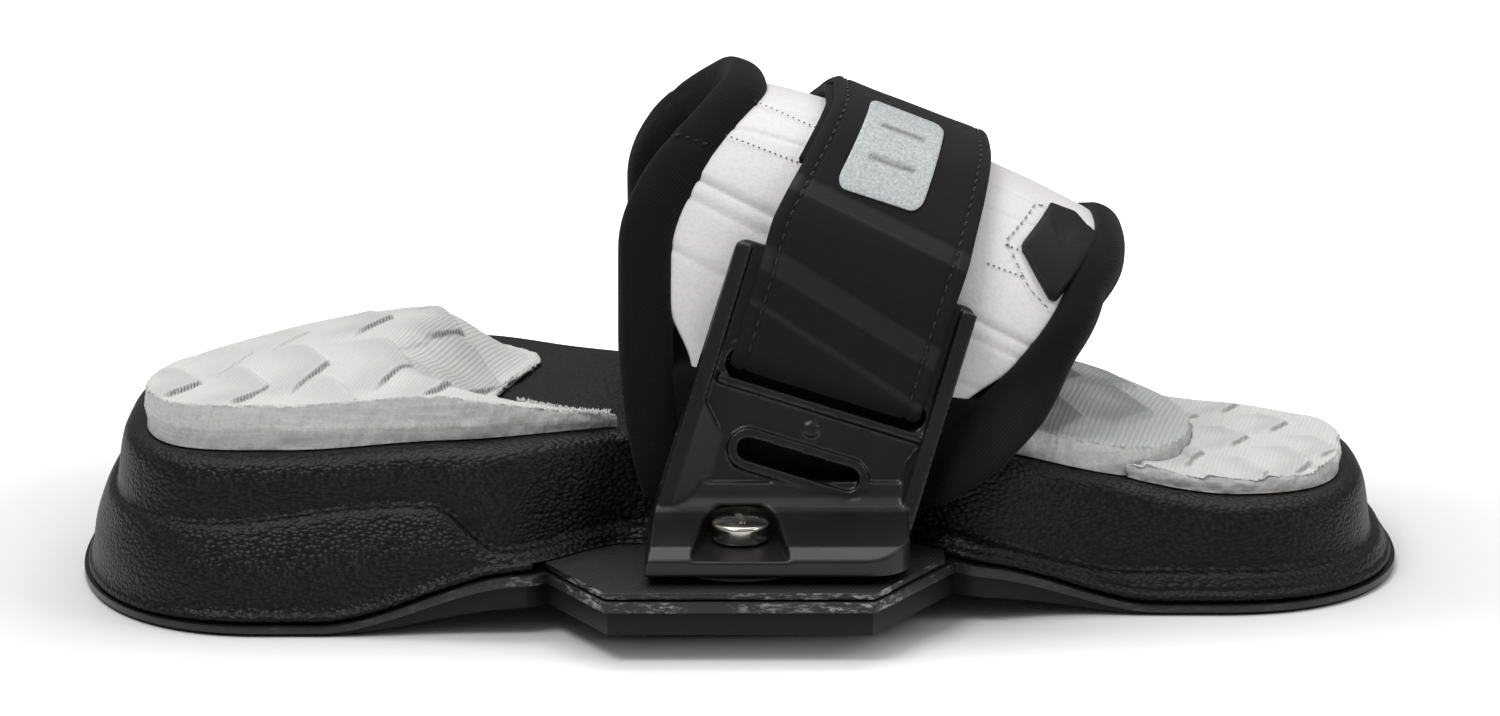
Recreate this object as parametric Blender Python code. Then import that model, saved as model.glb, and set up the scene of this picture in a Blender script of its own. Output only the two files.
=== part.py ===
"""Strapped foot binding: footpad, cushions, two swivel brackets and a padded strap with a belt.

Lengths in this script are millimetres and are turned into metres when a mesh is made.
+X points to the toes, +Z up; the near side is -Y and the far side +Y. The origin is the
middle of the outline, on the plane of the board, where the sole's heel and toe ends rest.
"""
import math

import bmesh
import bpy
from mathutils import Matrix, Vector

MM = 0.001
GAP = 0.3

# Footpad outline: half widths at heel, waist and toes, and round ends.
PAD_HALF_LENGTH = 143.3
HEEL_HALF_WIDTH = 65.5
TOE_HALF_WIDTH = 50.5
WAIST_DEPTH = 16.0
WAIST_MIDDLE = 3.0
HEEL_CAP = 45.0
TOE_CAP = 43.0
CAP_STEPS = 8
SIDE_STEPS = 26

# Side wall of the pad body.
PAD_FOOT = 2.2
WALL_LEAN = 0.25
LEDGE_STEP = 2.4
SHOULDER = 5.0

# Layers of the sole. The middle stands LIFT above the board, which heel and toe rest on.
LIFT = 6.0
MAT_MIDDLE = 5.0
MAT_END = 0.8
SHEET_THICK_MIDDLE = 2.2
SHEET_THICK_END = 1.4
CAMBER_START = 44.0
CAMBER_END = 88.0
PLATE_THICK = 1.4
PLATE_TOP = LIFT + MAT_MIDDLE + SHEET_THICK_MIDDLE + GAP + PLATE_THICK

# Wings that carry the brackets.
WING_REACH = 84.0
WING_HALF_LENGTH = 27.5
WING_ROOT_HALF_LENGTH = 42.5
WING_ROOT_Y = 59.0

# Screws: M6 pan heads.
SCREW_Y = 62.0
SCREW_SHANK_R = 3.0
SCREW_HOLE_R = 3.4
SCREW_HEAD_R = 6.0
SCREW_HEAD_HEIGHT = 4.6
SCREW_TIP_Z = LIFT + 0.8
DISC_R = 15.0
DISC_LOW = PLATE_TOP + GAP
DISC_HIGH = DISC_LOW + 1.1

# Bracket: a flange on the disc, and a leaning plate with rails and two slots.
FLANGE_LOW = DISC_HIGH + GAP
FLANGE_FRONT_Y = 78.0
FLANGE_FACE = 3.6
POCKET_FLOOR = FLANGE_LOW + 3.4
POCKET_R = 10.3
PLATE_FOOT_Y = 56.0
PLATE_WALL = 3.0
PLATE_LEAN = math.radians(12.0)
PLATE_TURN = math.radians(17.0)
PLATE_WIDTH = 52.4
PLATE_TOP_LEFT = (-0.5, 65.3)
RAIL_WIDTH = 3.4
RAIL_RISE = 2.6
BELT_SLOT = (5.2, 48.2, -25.2, 6.4)
SMALL_SLOT = (12.6, 39.0, -41.6, 4.8)
SLOT_RIM = 2.0
SLOT_RIM_RISE = 1.2

# Strap: an arch over the foot, lower towards the toes.
ARCH_FOOT_Z = LIFT + 17.0
ARCH_HALF_WIDTH = 46.5
ARCH_POWER = 2.25
ARCH_FLARE = 14.5
CROWN_HEEL = (-5.5, LIFT + 101.8)
CROWN_TOE = (81.0, LIFT + 67.8)
CROWN_SWELL = 2.0
STRAP_THICK = 8.0
SHELL_THICK = 4.2
SHELL_FOOT_Z = LIFT + 42.0

# Belt of the strap.
BELT_WIDTH_IN_SLOT = (6.6, 46.6)
BELT_THICK = 2.2
BELT_ON_CROWN = (20.0, 53.5)
BELT_ON_BRACKET = (2.5, 44.5)


def smooth(low, high, value):
    """A smooth ramp from 0 at low to 1 at high."""
    t = min(1.0, max(0.0, (value - low) / (high - low)))
    return t * t * (3.0 - 2.0 * t)


# ---------------------------------------------------------------- materials and meshes

def material(name, colour, roughness, metallic=0.0):
    mat = bpy.data.materials.new(name)
    mat.use_nodes = True
    shader = mat.node_tree.nodes["Principled BSDF"]
    shader.inputs["Base Color"].default_value = (*colour, 1.0)
    shader.inputs["Roughness"].default_value = roughness
    shader.inputs["Metallic"].default_value = metallic
    return mat


def add_object(name, bm, mat):
    """Turn a bmesh in millimetres into a smooth-shaded object in metres."""
    bmesh.ops.recalc_face_normals(bm, faces=bm.faces[:])
    bmesh.ops.transform(bm, matrix=Matrix.Scale(MM, 4), verts=bm.verts[:])
    mesh = bpy.data.meshes.new(name)
    bm.to_mesh(mesh)
    bm.free()
    mesh.materials.append(mat)
    mesh.shade_smooth()
    mesh.set_sharp_from_angle(angle=math.radians(35.0))
    obj = bpy.data.objects.new(name, mesh)
    bpy.context.scene.collection.objects.link(obj)
    return obj


def combine(obj, tool, operation):
    """Apply one Boolean to obj and remove its tool."""
    step = obj.modifiers.new(operation, 'BOOLEAN')
    step.operation = operation
    step.object = tool
    bpy.context.view_layer.update()
    evaluated = obj.evaluated_get(bpy.context.evaluated_depsgraph_get())
    mesh = bpy.data.meshes.new_from_object(evaluated)
    obj.modifiers.clear()
    obj.data = mesh
    mesh.name = obj.name
    bpy.data.objects.remove(tool)
    return obj


def prism(name, outline, low, high, mat, frame=None):
    """A straight extrusion of a closed outline, from low to high along its third axis."""
    bm = bmesh.new()
    face = bm.faces.new([bm.verts.new((x, y, low)) for x, y in outline])
    grown = bmesh.ops.extrude_face_region(bm, geom=[face])
    lifted = [v for v in grown["geom"] if isinstance(v, bmesh.types.BMVert)]
    bmesh.ops.translate(bm, verts=lifted, vec=(0.0, 0.0, high - low))
    if frame is not None:
        bmesh.ops.transform(bm, matrix=frame, verts=bm.verts[:])
    return add_object(name, bm, mat)


def cylinder(name, centre, radius, low, high, mat, segments=40):
    ring = [(centre[0] + radius * math.cos(a), centre[1] + radius * math.sin(a))
            for a in (2.0 * math.pi * i / segments for i in range(segments))]
    return prism(name, ring, low, high, mat)


def relief_solid(name, outline, low, high, cuts, mat):
    """A closed solid over an outline, cut along x and y, whose faces follow low(x, y) and high(x, y)."""
    bm = bmesh.new()
    bm.faces.new([bm.verts.new((x, y, 0.0)) for x, y in outline])
    for axis, places in enumerate(cuts):
        normal = Vector((0.0, 0.0, 0.0))
        normal[axis] = 1.0
        for place in places:
            geom = bm.verts[:] + bm.edges[:] + bm.faces[:]
            bmesh.ops.bisect_plane(bm, geom=geom, plane_co=normal * place, plane_no=normal, dist=1e-4)
    bmesh.ops.triangulate(bm, faces=bm.faces[:])
    grown = bmesh.ops.extrude_face_region(bm, geom=bm.faces[:])
    lifted = [v for v in grown["geom"] if isinstance(v, bmesh.types.BMVert)]
    top = set(lifted)
    for v in bm.verts:
        v.co.z = high(v.co.x, v.co.y) if v in top else low(v.co.x, v.co.y)
    return add_object(name, bm, mat)


def ring_solid(rings, caps):
    """Join closed rings of points into a bmesh; caps close the first and last ring row by row."""
    bm = bmesh.new()
    loops = [[bm.verts.new(p) for p in ring] for ring in rings]
    count = len(loops[0])
    for lower, upper in zip(loops, loops[1:]):
        for i in range(count):
            j = (i + 1) % count
            bm.faces.new((lower[i], lower[j], upper[j], upper[i]))
    if caps:
        half = count // 2
        for loop in (loops[0], loops[-1]):
            for i in range(half):
                corners = [loop[i], loop[i + 1], loop[(count - i - 1) % count], loop[(count - i) % count]]
                bm.faces.new(list(dict.fromkeys(corners)))
    return bm


def rounded(points, radius, steps=5):
    """Round every corner of a closed outline; radius is one number or one for each corner."""
    result = []
    count = len(points)
    for i, corner in enumerate(points):
        r = radius[i] if isinstance(radius, (list, tuple)) else radius
        here = Vector(corner)
        if r <= 0.0:
            result.append(tuple(here))
            continue
        back = (Vector(points[i - 1]) - here).normalized()
        ahead = (Vector(points[(i + 1) % count]) - here).normalized()
        half = back.angle(ahead) / 2.0
        start = here + back * (r / math.tan(half))
        end = here + ahead * (r / math.tan(half))
        centre = here + (back + ahead).normalized() * (r / math.sin(half))
        sweep = (start - centre).angle_signed(end - centre)
        for k in range(steps + 1):
            turn = Matrix.Rotation(-sweep * k / steps, 2)
            result.append(tuple(centre + turn @ (start - centre)))
    return result


# ---------------------------------------------------------------- footpad outlines

def half_width_at(x, inset):
    """Half width of the pad at x, between its round ends. The waist is softer towards the deck."""
    full = HEEL_HALF_WIDTH - (HEEL_HALF_WIDTH - TOE_HALF_WIDTH) * smooth(15.0, 80.0, x)
    narrowing = 1.0 - smooth(28.0 - 0.85 * inset, 48.0 + inset, abs(x - WAIST_MIDDLE))
    return full - WAIST_DEPTH * narrowing - inset


def pad_point(station, side, inset):
    """One point of the pad's outline; station counts from heel tip to toe tip.

    The ends are round at the foot and squarer higher up, where the inset is larger.
    """
    heel_start = -PAD_HALF_LENGTH + HEEL_CAP
    toe_start = PAD_HALF_LENGTH - TOE_CAP
    if CAP_STEPS <= station <= CAP_STEPS + SIDE_STEPS:
        x = heel_start + (toe_start - heel_start) * (station - CAP_STEPS) / SIDE_STEPS
        return (x, side * half_width_at(x, inset))
    if station < CAP_STEPS:
        end, start, cap, turn = -1.0, heel_start, HEEL_CAP, station / CAP_STEPS
        squareness = 2.25 + (0.07 if side < 0.0 else 0.0) * inset
    else:
        end, start, cap, turn = 1.0, toe_start, TOE_CAP, (2 * CAP_STEPS + SIDE_STEPS - station) / CAP_STEPS
        squareness = 2.25 + 0.045 * inset
    out = abs(math.cos(0.5 * math.pi * turn)) ** (2.0 / squareness)
    across = math.sin(0.5 * math.pi * turn) ** (2.0 / squareness)
    return (start + end * (cap - 0.85 * inset) * out, side * across * half_width_at(start, inset))


def pad_side(side, inset):
    """One side of the pad's outline, from heel tip to toe tip."""
    return [pad_point(k, side, inset) for k in range(2 * CAP_STEPS + SIDE_STEPS + 1)]


def wing_reach(x, grow):
    """How far the wing stands out from the middle line at x."""
    slope = (WING_REACH - WING_ROOT_Y) / (WING_ROOT_HALF_LENGTH - WING_HALF_LENGTH)
    return WING_REACH + grow - max(0.0, abs(x) - WING_HALF_LENGTH - grow * 0.5) * slope


def side_with_wing(side, sign, grow):
    """Replace the part of one side of the pad's outline that lies inside the wing by the wing's edge."""
    corner = WING_HALF_LENGTH + grow * 0.5
    path = []
    inside = False
    for p, q in zip(side, side[1:] + side[-1:]):
        depth_p = sign * p[1] - wing_reach(p[0], grow)
        depth_q = sign * q[1] - wing_reach(q[0], grow)
        if depth_p > 0.0:
            path.append(p)
        if depth_p * depth_q < 0.0:
            share = depth_p / (depth_p - depth_q)
            crossing = (p[0] + (q[0] - p[0]) * share, p[1] + (q[1] - p[1]) * share)
            if inside:
                path.append(crossing)
            else:
                path += [crossing, (-corner, sign * (WING_REACH + grow)), (corner, sign * (WING_REACH + grow))]
            inside = not inside
    return path


def sole_outline(grow):
    """Outline of the whole sole with its wings, grown outwards by grow."""
    near = side_with_wing(pad_side(-1.0, -grow), -1.0, grow)
    far = side_with_wing(pad_side(1.0, -grow), 1.0, grow)
    return near + far[::-1][1:-1]


def camber(x):
    """1 in the middle of the sole, 0 at heel and toe."""
    return 1.0 - smooth(CAMBER_START, CAMBER_END, abs(x))


def mat_low(x, y=0.0):
    return LIFT * camber(x)


def sheet_low(x, y=0.0):
    return mat_low(x) + MAT_END + (MAT_MIDDLE - MAT_END) * camber(x)


def sheet_high(x, y=0.0):
    return sheet_low(x) + SHEET_THICK_END + (SHEET_THICK_MIDDLE - SHEET_THICK_END) * camber(x)


def deck_height(x, y=0.0):
    """Height of the pad's top face. At the waist it falls a little from the near side to the far side."""
    heel = 34.9 + 2.1 * smooth(-95.0, -60.0, x)
    front = heel - 4.0 * smooth(-26.0, 50.0, x)
    tilt = 0.027 * (y + 40.0) * (1.0 - smooth(36.0, 76.0, abs(x)))
    return front - 11.0 * smooth(44.0, 106.0, x) - tilt


def ledge_height(x):
    """Height of the step that runs round the pad's side wall."""
    arch = 22.0 - 3.2 * smooth(-59.0, -49.0, x)
    return arch - 10.3 * smooth(38.0, 84.0, x)


# ---------------------------------------------------------------- sole and pad

CAMBER_CUTS = [s * (CAMBER_START + (CAMBER_END - CAMBER_START) * k / 6.0) for s in (-1, 1) for k in range(7)]


def make_sole():
    rubber = material("sole_rubber", (0.020, 0.020, 0.021), 0.62)
    sheet = material("base_sheet_plastic", (0.030, 0.030, 0.032), 0.38)
    plate = material("plate_textured", (0.028, 0.028, 0.030), 0.55)
    cuts = (CAMBER_CUTS, [])
    mat_obj = relief_solid("sole_mat", sole_outline(-1.2), mat_low,
                           lambda x, y: sheet_low(x) - GAP, cuts, rubber)
    sheet_obj = relief_solid("base_sheet", sole_outline(0.0), sheet_low, sheet_high, cuts, sheet)
    wing = [(-WING_HALF_LENGTH, -WING_REACH + 1.0), (WING_HALF_LENGTH, -WING_REACH + 1.0),
            (WING_ROOT_HALF_LENGTH, -WING_ROOT_Y + 1.5), (WING_ROOT_HALF_LENGTH, WING_ROOT_Y - 1.5),
            (WING_HALF_LENGTH, WING_REACH - 1.0), (-WING_HALF_LENGTH, WING_REACH - 1.0),
            (-WING_ROOT_HALF_LENGTH, WING_ROOT_Y - 1.5), (-WING_ROOT_HALF_LENGTH, -WING_ROOT_Y + 1.5)]
    plate_obj = prism("base_plate", wing, PLATE_TOP - PLATE_THICK, PLATE_TOP, plate)
    for obj in (mat_obj, sheet_obj, plate_obj):
        for side in (-1.0, 1.0):
            drill = cylinder("drill", (0.0, side * SCREW_Y), SCREW_HOLE_R, 0.0, 40.0, rubber, 24)
            combine(obj, drill, 'DIFFERENCE')


def pad_levels(low, ledge, deck):
    """Inset and height of each ring of the pad body, from its foot over the ledge to the deck."""
    at_ledge = PAD_FOOT + WALL_LEAN * (ledge - low)
    at_shoulder = at_ledge + LEDGE_STEP + WALL_LEAN * (deck - SHOULDER - ledge)
    return ((PAD_FOOT, low), (PAD_FOOT - 0.6, low + 1.2), (at_ledge, ledge - 1.4), (at_ledge + 0.7, ledge),
            (at_ledge + LEDGE_STEP, ledge + 0.3), (at_shoulder, deck - SHOULDER),
            (at_shoulder + 1.4, deck - 1.4), (at_shoulder + 4.4, deck))


def pad_side_wall(side):
    """One column of points for each station of one side."""
    columns = []
    for station in range(2 * CAP_STEPS + SIDE_STEPS + 1):
        x, y = pad_point(station, side, PAD_FOOT)
        deck = deck_height(x, y - side * 14.0)
        levels = pad_levels(sheet_high(x) + GAP, ledge_height(x), deck)
        columns.append([(*pad_point(station, side, inset), z) for inset, z in levels])
    return columns


def pad_rings():
    columns = pad_side_wall(-1.0) + pad_side_wall(1.0)[::-1][1:-1]
    return [list(ring) for ring in zip(*columns)]


def make_pad_body():
    foam = material("pad_foam", (0.022, 0.022, 0.023), 0.58)
    pad = add_object("pad_body", ring_solid(pad_rings(), True), foam)
    edge = GAP + 0.2
    recess = [(-WING_ROOT_HALF_LENGTH - edge, -80.0), (WING_ROOT_HALF_LENGTH + edge, -80.0),
              (WING_ROOT_HALF_LENGTH + edge, 80.0), (-WING_ROOT_HALF_LENGTH - edge, 80.0)]
    combine(pad, prism("recess", recess, 0.0, PLATE_TOP + GAP, foam), 'DIFFERENCE')
    for side in (-1.0, 1.0):
        room = cylinder("room", (0.0, side * SCREW_Y), DISC_R + 0.5, 0.0, DISC_HIGH + GAP, foam, 48)
        combine(pad, room, 'DIFFERENCE')


# ---------------------------------------------------------------- cushions

def ellipse(centre, half, power=2.0, steps=36, turn=0.0):
    points = []
    for k in range(steps):
        a = 2.0 * math.pi * k / steps
        c = math.cos(a)
        s = math.sin(a)
        x = half[0] * math.copysign(abs(c) ** (2.0 / power), c)
        y = half[1] * math.copysign(abs(s) ** (2.0 / power), s)
        points.append((centre[0] + x * math.cos(turn) - y * math.sin(turn),
                       centre[1] + x * math.sin(turn) + y * math.cos(turn)))
    return points


HEEL_INSET = 18.5
TOE_INSET = 15.5
HEEL_TAIL_X = -26.0
HEEL_CENTRE = (-79.0, -20.0)
HEEL_FAR_REACH = 64.0
HEEL_FAR_POWER = 1.9
TOE_FAR_CENTRE = (92.0, -4.0)
TOE_FAR_REACH = (39.0, 38.0)
BALL_CENTRE = (63.0, -1.0)
BALL_HALF = (35.0, 37.0)
BALL_ROOM = (35.6, 37.6)
BALL_TURN = math.radians(-6.0)


def heel_outline():
    """Heel cushion: round the heel end of the deck, with a thin tail along the near side of the arch."""
    near = [p for p in pad_side(-1.0, HEEL_INSET) if p[0] < HEEL_TAIL_X and p[1] < HEEL_CENTRE[1]]
    tail = (near[-1][0] - 1.5, near[-1][1] + 2.5)
    front = [tail, (-37.0, -37.0), (-46.0, -36.5), (-52.5, -25.0), (-53.0, -10.0), (-50.0, 4.0), (-46.5, 17.0)]
    front += [(-44.5, 27.0), (-46.5, 33.0), (-52.0, 38.0), (-60.0, 41.5)]
    reach = HEEL_CENTRE[0] - near[0][0]
    far = []
    for k in range(13):
        a = 0.5 * math.pi * k / 12.0
        out = math.sin(a) ** (2.0 / HEEL_FAR_POWER)
        across = math.cos(a) ** (2.0 / HEEL_FAR_POWER)
        far.append((HEEL_CENTRE[0] - reach * out, HEEL_CENTRE[1] + HEEL_FAR_REACH * across))
    return near + front + far[:-1]


def heel_top(x, y):
    """Top of the heel cushion: high at the near rim, thin at its front and far rims, domed in the middle."""
    rim = (7.3 - 2.4 * y / 45.0) * (1.0 - 0.72 * smooth(-66.0, -34.0, x))
    rim -= 1.6 * smooth(0.0, 30.0, y) * smooth(80.0, 112.0, -x)
    half = 44.0 if x < -76.0 else 47.0
    radial = ((x + 76.0) / half) ** 2 + ((y - 8.0) / 50.0) ** 2
    return deck_height(x, y) + GAP + rim + 6.4 * max(0.0, 1.0 - radial)


def ball_top(x, y):
    radial = ((x - 66.0) / 40.0) ** 2 + ((y + 1.0) / 42.0) ** 2
    return deck_height(x, y) + GAP + 5.5 + 4.5 * max(0.0, 1.0 - radial)


def toe_top(x, y):
    """Top of the toe cushion, a little lower towards the far side."""
    return deck_height(x, y) + GAP + 4.0 - 0.8 * smooth(-30.0, 30.0, y) + 1.2 * smooth(0.0, 14.0, 28.0 - abs(y + 4.0))


BALL_OUTLINE = ellipse(BALL_CENTRE, BALL_HALF, 2.3, 32, BALL_TURN)


def toe_outline():
    """Toe cushion: round the toe end of the deck, hollowed at the back where the ball cushion lies."""
    near = [p for p in pad_side(-1.0, TOE_INSET) if p[0] > 83.0 and p[1] < TOE_FAR_CENTRE[1]]
    far = []
    for k in range(1, 12):
        a = 0.5 * math.pi * k / 11.0
        out = math.cos(a) ** (2.0 / 2.2)
        across = math.sin(a) ** (2.0 / 2.2)
        far.append((TOE_FAR_CENTRE[0] + TOE_FAR_REACH[0] * out, TOE_FAR_CENTRE[1] + TOE_FAR_REACH[1] * across))
    hollow = [p for p in ellipse(BALL_CENTRE, BALL_ROOM, 2.3, 32, BALL_TURN) if p[0] > 81.5]
    hollow.sort(key=lambda p: -p[1])
    return near + far + hollow


def make_cushions():
    white = material("cushion_white", (0.78, 0.78, 0.77), 0.85)
    grey = material("cushion_grey", (0.42, 0.42, 0.42), 0.85)
    steps_x = [-140.0 + 11.0 * k for k in range(26)]
    steps_y = [-78.0 + 13.0 * k for k in range(13)]

    def low(x, y):
        return deck_height(x, y) + GAP

    relief_solid("heel_cushion", heel_outline(), low, heel_top, (steps_x, steps_y), white)
    relief_solid("ball_cushion", BALL_OUTLINE, low, ball_top, (steps_x, steps_y), grey)
    relief_solid("toe_cushion", toe_outline(), low, toe_top, (steps_x, steps_y), white)


# ---------------------------------------------------------------- brackets and screws

def plate_frame(side):
    """Matrix from plate coordinates (along the foot, up the plate, out of it) to the object's axes."""
    up = Vector((0.0, -side * math.sin(PLATE_LEAN), math.cos(PLATE_LEAN)))
    out = Vector((0.0, side * math.cos(PLATE_LEAN), math.sin(PLATE_LEAN)))
    foot = Vector((0.0, side * PLATE_FOOT_Y, FLANGE_LOW - 0.6))
    columns = (Vector((1.0, 0.0, 0.0)), up, out)
    frame = Matrix.Identity(4)
    for c, axis in enumerate(columns):
        for r in range(3):
            frame[r][c] = axis[r]
    frame.translation = foot
    return frame


def plate_point(p, q):
    """From along-the-slot and up-the-sides lengths, counted from the top heel corner, to plate coordinates."""
    return (PLATE_TOP_LEFT[0] + p * math.cos(PLATE_TURN) + q * math.sin(PLATE_TURN),
            PLATE_TOP_LEFT[1] - p * math.sin(PLATE_TURN) + q * math.cos(PLATE_TURN))


def slot_outline(slot, grow=0.0):
    """A slot with round ends in plate coordinates."""
    start, end, q, height = slot
    r = height / 2.0 + grow
    points = []
    for centre, first in ((start + height / 2.0, 90.0), (end - height / 2.0, -90.0)):
        for k in range(9):
            a = math.radians(first + 180.0 * k / 8.0)
            points.append(plate_point(centre + r * math.cos(a), q + r * math.sin(a)))
    return points


def plate_outline():
    foot = 2.5
    right_q = -52.0
    left_q = -68.2
    corners = [plate_point(0.0, 0.0), plate_point(0.0, left_q), plate_point(PLATE_WIDTH, right_q),
               plate_point(PLATE_WIDTH, 0.0)]
    corners[1] = (corners[1][0], foot)
    corners[2] = (corners[2][0], foot)
    return rounded(corners, [2.5, 0.0, 0.0, 3.0])


def rail_outline(p_low, p_high, q_low, q_high):
    return [plate_point(p_low, q_high), plate_point(p_low, q_low), plate_point(p_high, q_low),
            plate_point(p_high, q_high)]


def flange_section():
    """Side view of the flange: how far out and how high, from the plate's inner foot round to its crest."""
    top = FLANGE_LOW + FLANGE_FACE
    return [(53.6, FLANGE_LOW), (FLANGE_FRONT_Y, FLANGE_LOW), (FLANGE_FRONT_Y, top),
            (FLANGE_FRONT_Y - 3.6, top + 2.0), (60.5, top + 4.4), (58.2, top + 5.4), (56.2, top + 6.4),
            (54.6, top + 9.0), (51.4, top + 5.8)]


def make_flange(name, side, mat):
    """The flange, as its side view carried along the foot, with its front corners rounded."""
    left = -21.4
    right = 34.8
    bm = bmesh.new()
    face = bm.faces.new([bm.verts.new((left, side * y, z)) for y, z in flange_section()])
    grown = bmesh.ops.extrude_face_region(bm, geom=[face])
    lifted = [v for v in grown["geom"] if isinstance(v, bmesh.types.BMVert)]
    bmesh.ops.translate(bm, verts=lifted, vec=(right - left, 0.0, 0.0))
    flange = add_object(name, bm, mat)
    corners = [(left, 45.0), (left, FLANGE_FRONT_Y + 0.01), (right, FLANGE_FRONT_Y + 0.01), (right, 45.0)]
    shape = [(x, side * y) for x, y in rounded(corners, [0.0, 3.0, 9.0, 0.0])]
    combine(flange, prism("trim", shape, 5.0, 40.0, mat), 'INTERSECT')
    pocket = [(POCKET_R * math.cos(a), side * (SCREW_Y - POCKET_R * math.sin(a)))
              for a in (math.pi * k / 16.0 for k in range(17))]
    pocket += [(-POCKET_R, side * 90.0), (POCKET_R, side * 90.0)]
    combine(flange, prism("pocket", pocket, POCKET_FLOOR, 60.0, mat), 'DIFFERENCE')
    drill = cylinder("drill", (0.0, side * SCREW_Y), SCREW_HOLE_R, 0.0, 40.0, mat, 24)
    return combine(flange, drill, 'DIFFERENCE')


def make_bracket(name, side, mat):
    frame = plate_frame(side)
    plate = prism(name, plate_outline(), -PLATE_WALL, 0.0, mat, frame)
    rails = [rail_outline(0.15, RAIL_WIDTH, -66.5, -1.0),
             rail_outline(PLATE_WIDTH - RAIL_WIDTH, PLATE_WIDTH - 0.15, -50.5, -1.2)]
    for outline in rails:
        combine(plate, prism("rail", outline, -0.5, RAIL_RISE, mat, frame), 'UNION')
    combine(plate, prism("rim", slot_outline(SMALL_SLOT, SLOT_RIM), -0.5, SLOT_RIM_RISE, mat, frame), 'UNION')
    combine(plate, make_flange("flange", side, mat), 'UNION')
    boss = [plate_point(26.3 + 1.5 * math.cos(a), -33.9 + 1.5 * math.sin(a))
            for a in (2.0 * math.pi * k / 12.0 for k in range(12))]
    combine(plate, prism("boss", boss, -0.5, 0.5, mat, frame), 'UNION')
    combine(plate, prism("belt_slot", slot_outline(BELT_SLOT), -9.0, 9.0, mat, frame), 'DIFFERENCE')
    return combine(plate, prism("small_slot", slot_outline(SMALL_SLOT), -9.0, 9.0, mat, frame), 'DIFFERENCE')


def make_screw(name, side, mat):
    """A pan-head screw with a cross recess, turned from its profile."""
    seat = POCKET_FLOOR + GAP
    top = seat + SCREW_HEAD_HEIGHT
    profile = [(SCREW_SHANK_R - 0.7, SCREW_TIP_Z), (SCREW_SHANK_R, SCREW_TIP_Z + 0.8), (SCREW_SHANK_R, seat),
               (SCREW_HEAD_R - 0.2, seat), (SCREW_HEAD_R, seat + 0.4), (SCREW_HEAD_R, seat + 2.6),
               (SCREW_HEAD_R - 0.5, seat + 3.5), (SCREW_HEAD_R - 1.8, seat + 4.3), (SCREW_HEAD_R - 3.6, top)]
    rings = []
    for r, z in profile:
        rings.append([(r * math.cos(a), side * SCREW_Y + r * math.sin(a), z)
                      for a in (2.0 * math.pi * k / 32.0 for k in range(32))])
    screw = add_object(name, ring_solid(rings, True), mat)
    half = 2.9
    wide = 0.55
    cross = [(-half, -wide), (-wide, -wide), (-wide, -half), (wide, -half), (wide, -wide), (half, -wide),
             (half, wide), (wide, wide), (wide, half), (-wide, half), (-wide, wide), (-half, wide)]
    cross = [(x, side * SCREW_Y + y) for x, y in cross]
    return combine(screw, prism("cross", cross, top - 2.2, top + 2.0, mat), 'DIFFERENCE')


def make_fittings():
    moulded = material("bracket_nylon", (0.024, 0.024, 0.025), 0.42)
    steel = material("screw_steel", (0.62, 0.60, 0.57), 0.22, 1.0)
    disc_black = material("disc_plastic", (0.018, 0.018, 0.019), 0.30)
    for word, side in (("near", -1.0), ("far", 1.0)):
        disc = cylinder(word + "_swivel_disc", (0.0, side * SCREW_Y), DISC_R, DISC_LOW, DISC_HIGH, disc_black, 48)
        drill = cylinder("drill", (0.0, side * SCREW_Y), SCREW_HOLE_R, 0.0, 40.0, disc_black, 24)
        combine(disc, drill, 'DIFFERENCE')
        make_bracket(word + "_bracket", side, moulded)
        make_screw(word + "_screw", side, steel)


# ---------------------------------------------------------------- strap

def crown_height(x):
    """Height of the strap's ridge above the foot at x."""
    run = CROWN_TOE[0] - CROWN_HEEL[0]
    share = (x - CROWN_HEEL[0]) / run
    swell = math.sin(math.pi * min(1.0, max(0.0, share)))
    return CROWN_HEEL[1] + (CROWN_TOE[1] - CROWN_HEEL[1]) * share + CROWN_SWELL * swell


def arch_share(angle):
    """How high a point of the arch is, from 0 at its feet to 1 at the crown."""
    return math.sin(angle) ** (2.0 / ARCH_POWER)


def arch_flare(x, z):
    """The strap's foot opens round the pad in front of the bracket."""
    start = LIFT + 16.0 + 9.0 * smooth(40.0, 55.0, x)
    end = LIFT + 34.0 + 12.0 * smooth(44.0, 60.0, x)
    return ARCH_FLARE * smooth(34.0, 55.0, x) * (1.0 - smooth(start, end, z))


def arch_point(x, angle, inset):
    """Point of the strap's arch at x; inset is counted inwards from its outer face."""
    share = arch_share(angle)
    z = ARCH_FOOT_Z + (crown_height(x) - inset - ARCH_FOOT_Z) * share
    half = ARCH_HALF_WIDTH + arch_flare(x, z) - inset
    c = math.cos(angle)
    return Vector((x, -half * math.copysign(abs(c) ** (2.0 / ARCH_POWER), c), z))


def ankle_edge(share):
    """Where the strap's edge at the ankle lies, by height on the arch."""
    low = 5.8 * max(0.0, 1.0 - share / 0.4) ** 2
    high = 24.0 * max(0.0, (share - 0.6) / 0.4) ** 1.7
    return -24.8 + low + high


def toe_edge(share):
    """Where the strap's edge over the toes lies, by height on the arch."""
    return 41.0 + 41.0 * (1.0 - (1.0 - share) ** 1.95)


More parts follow.
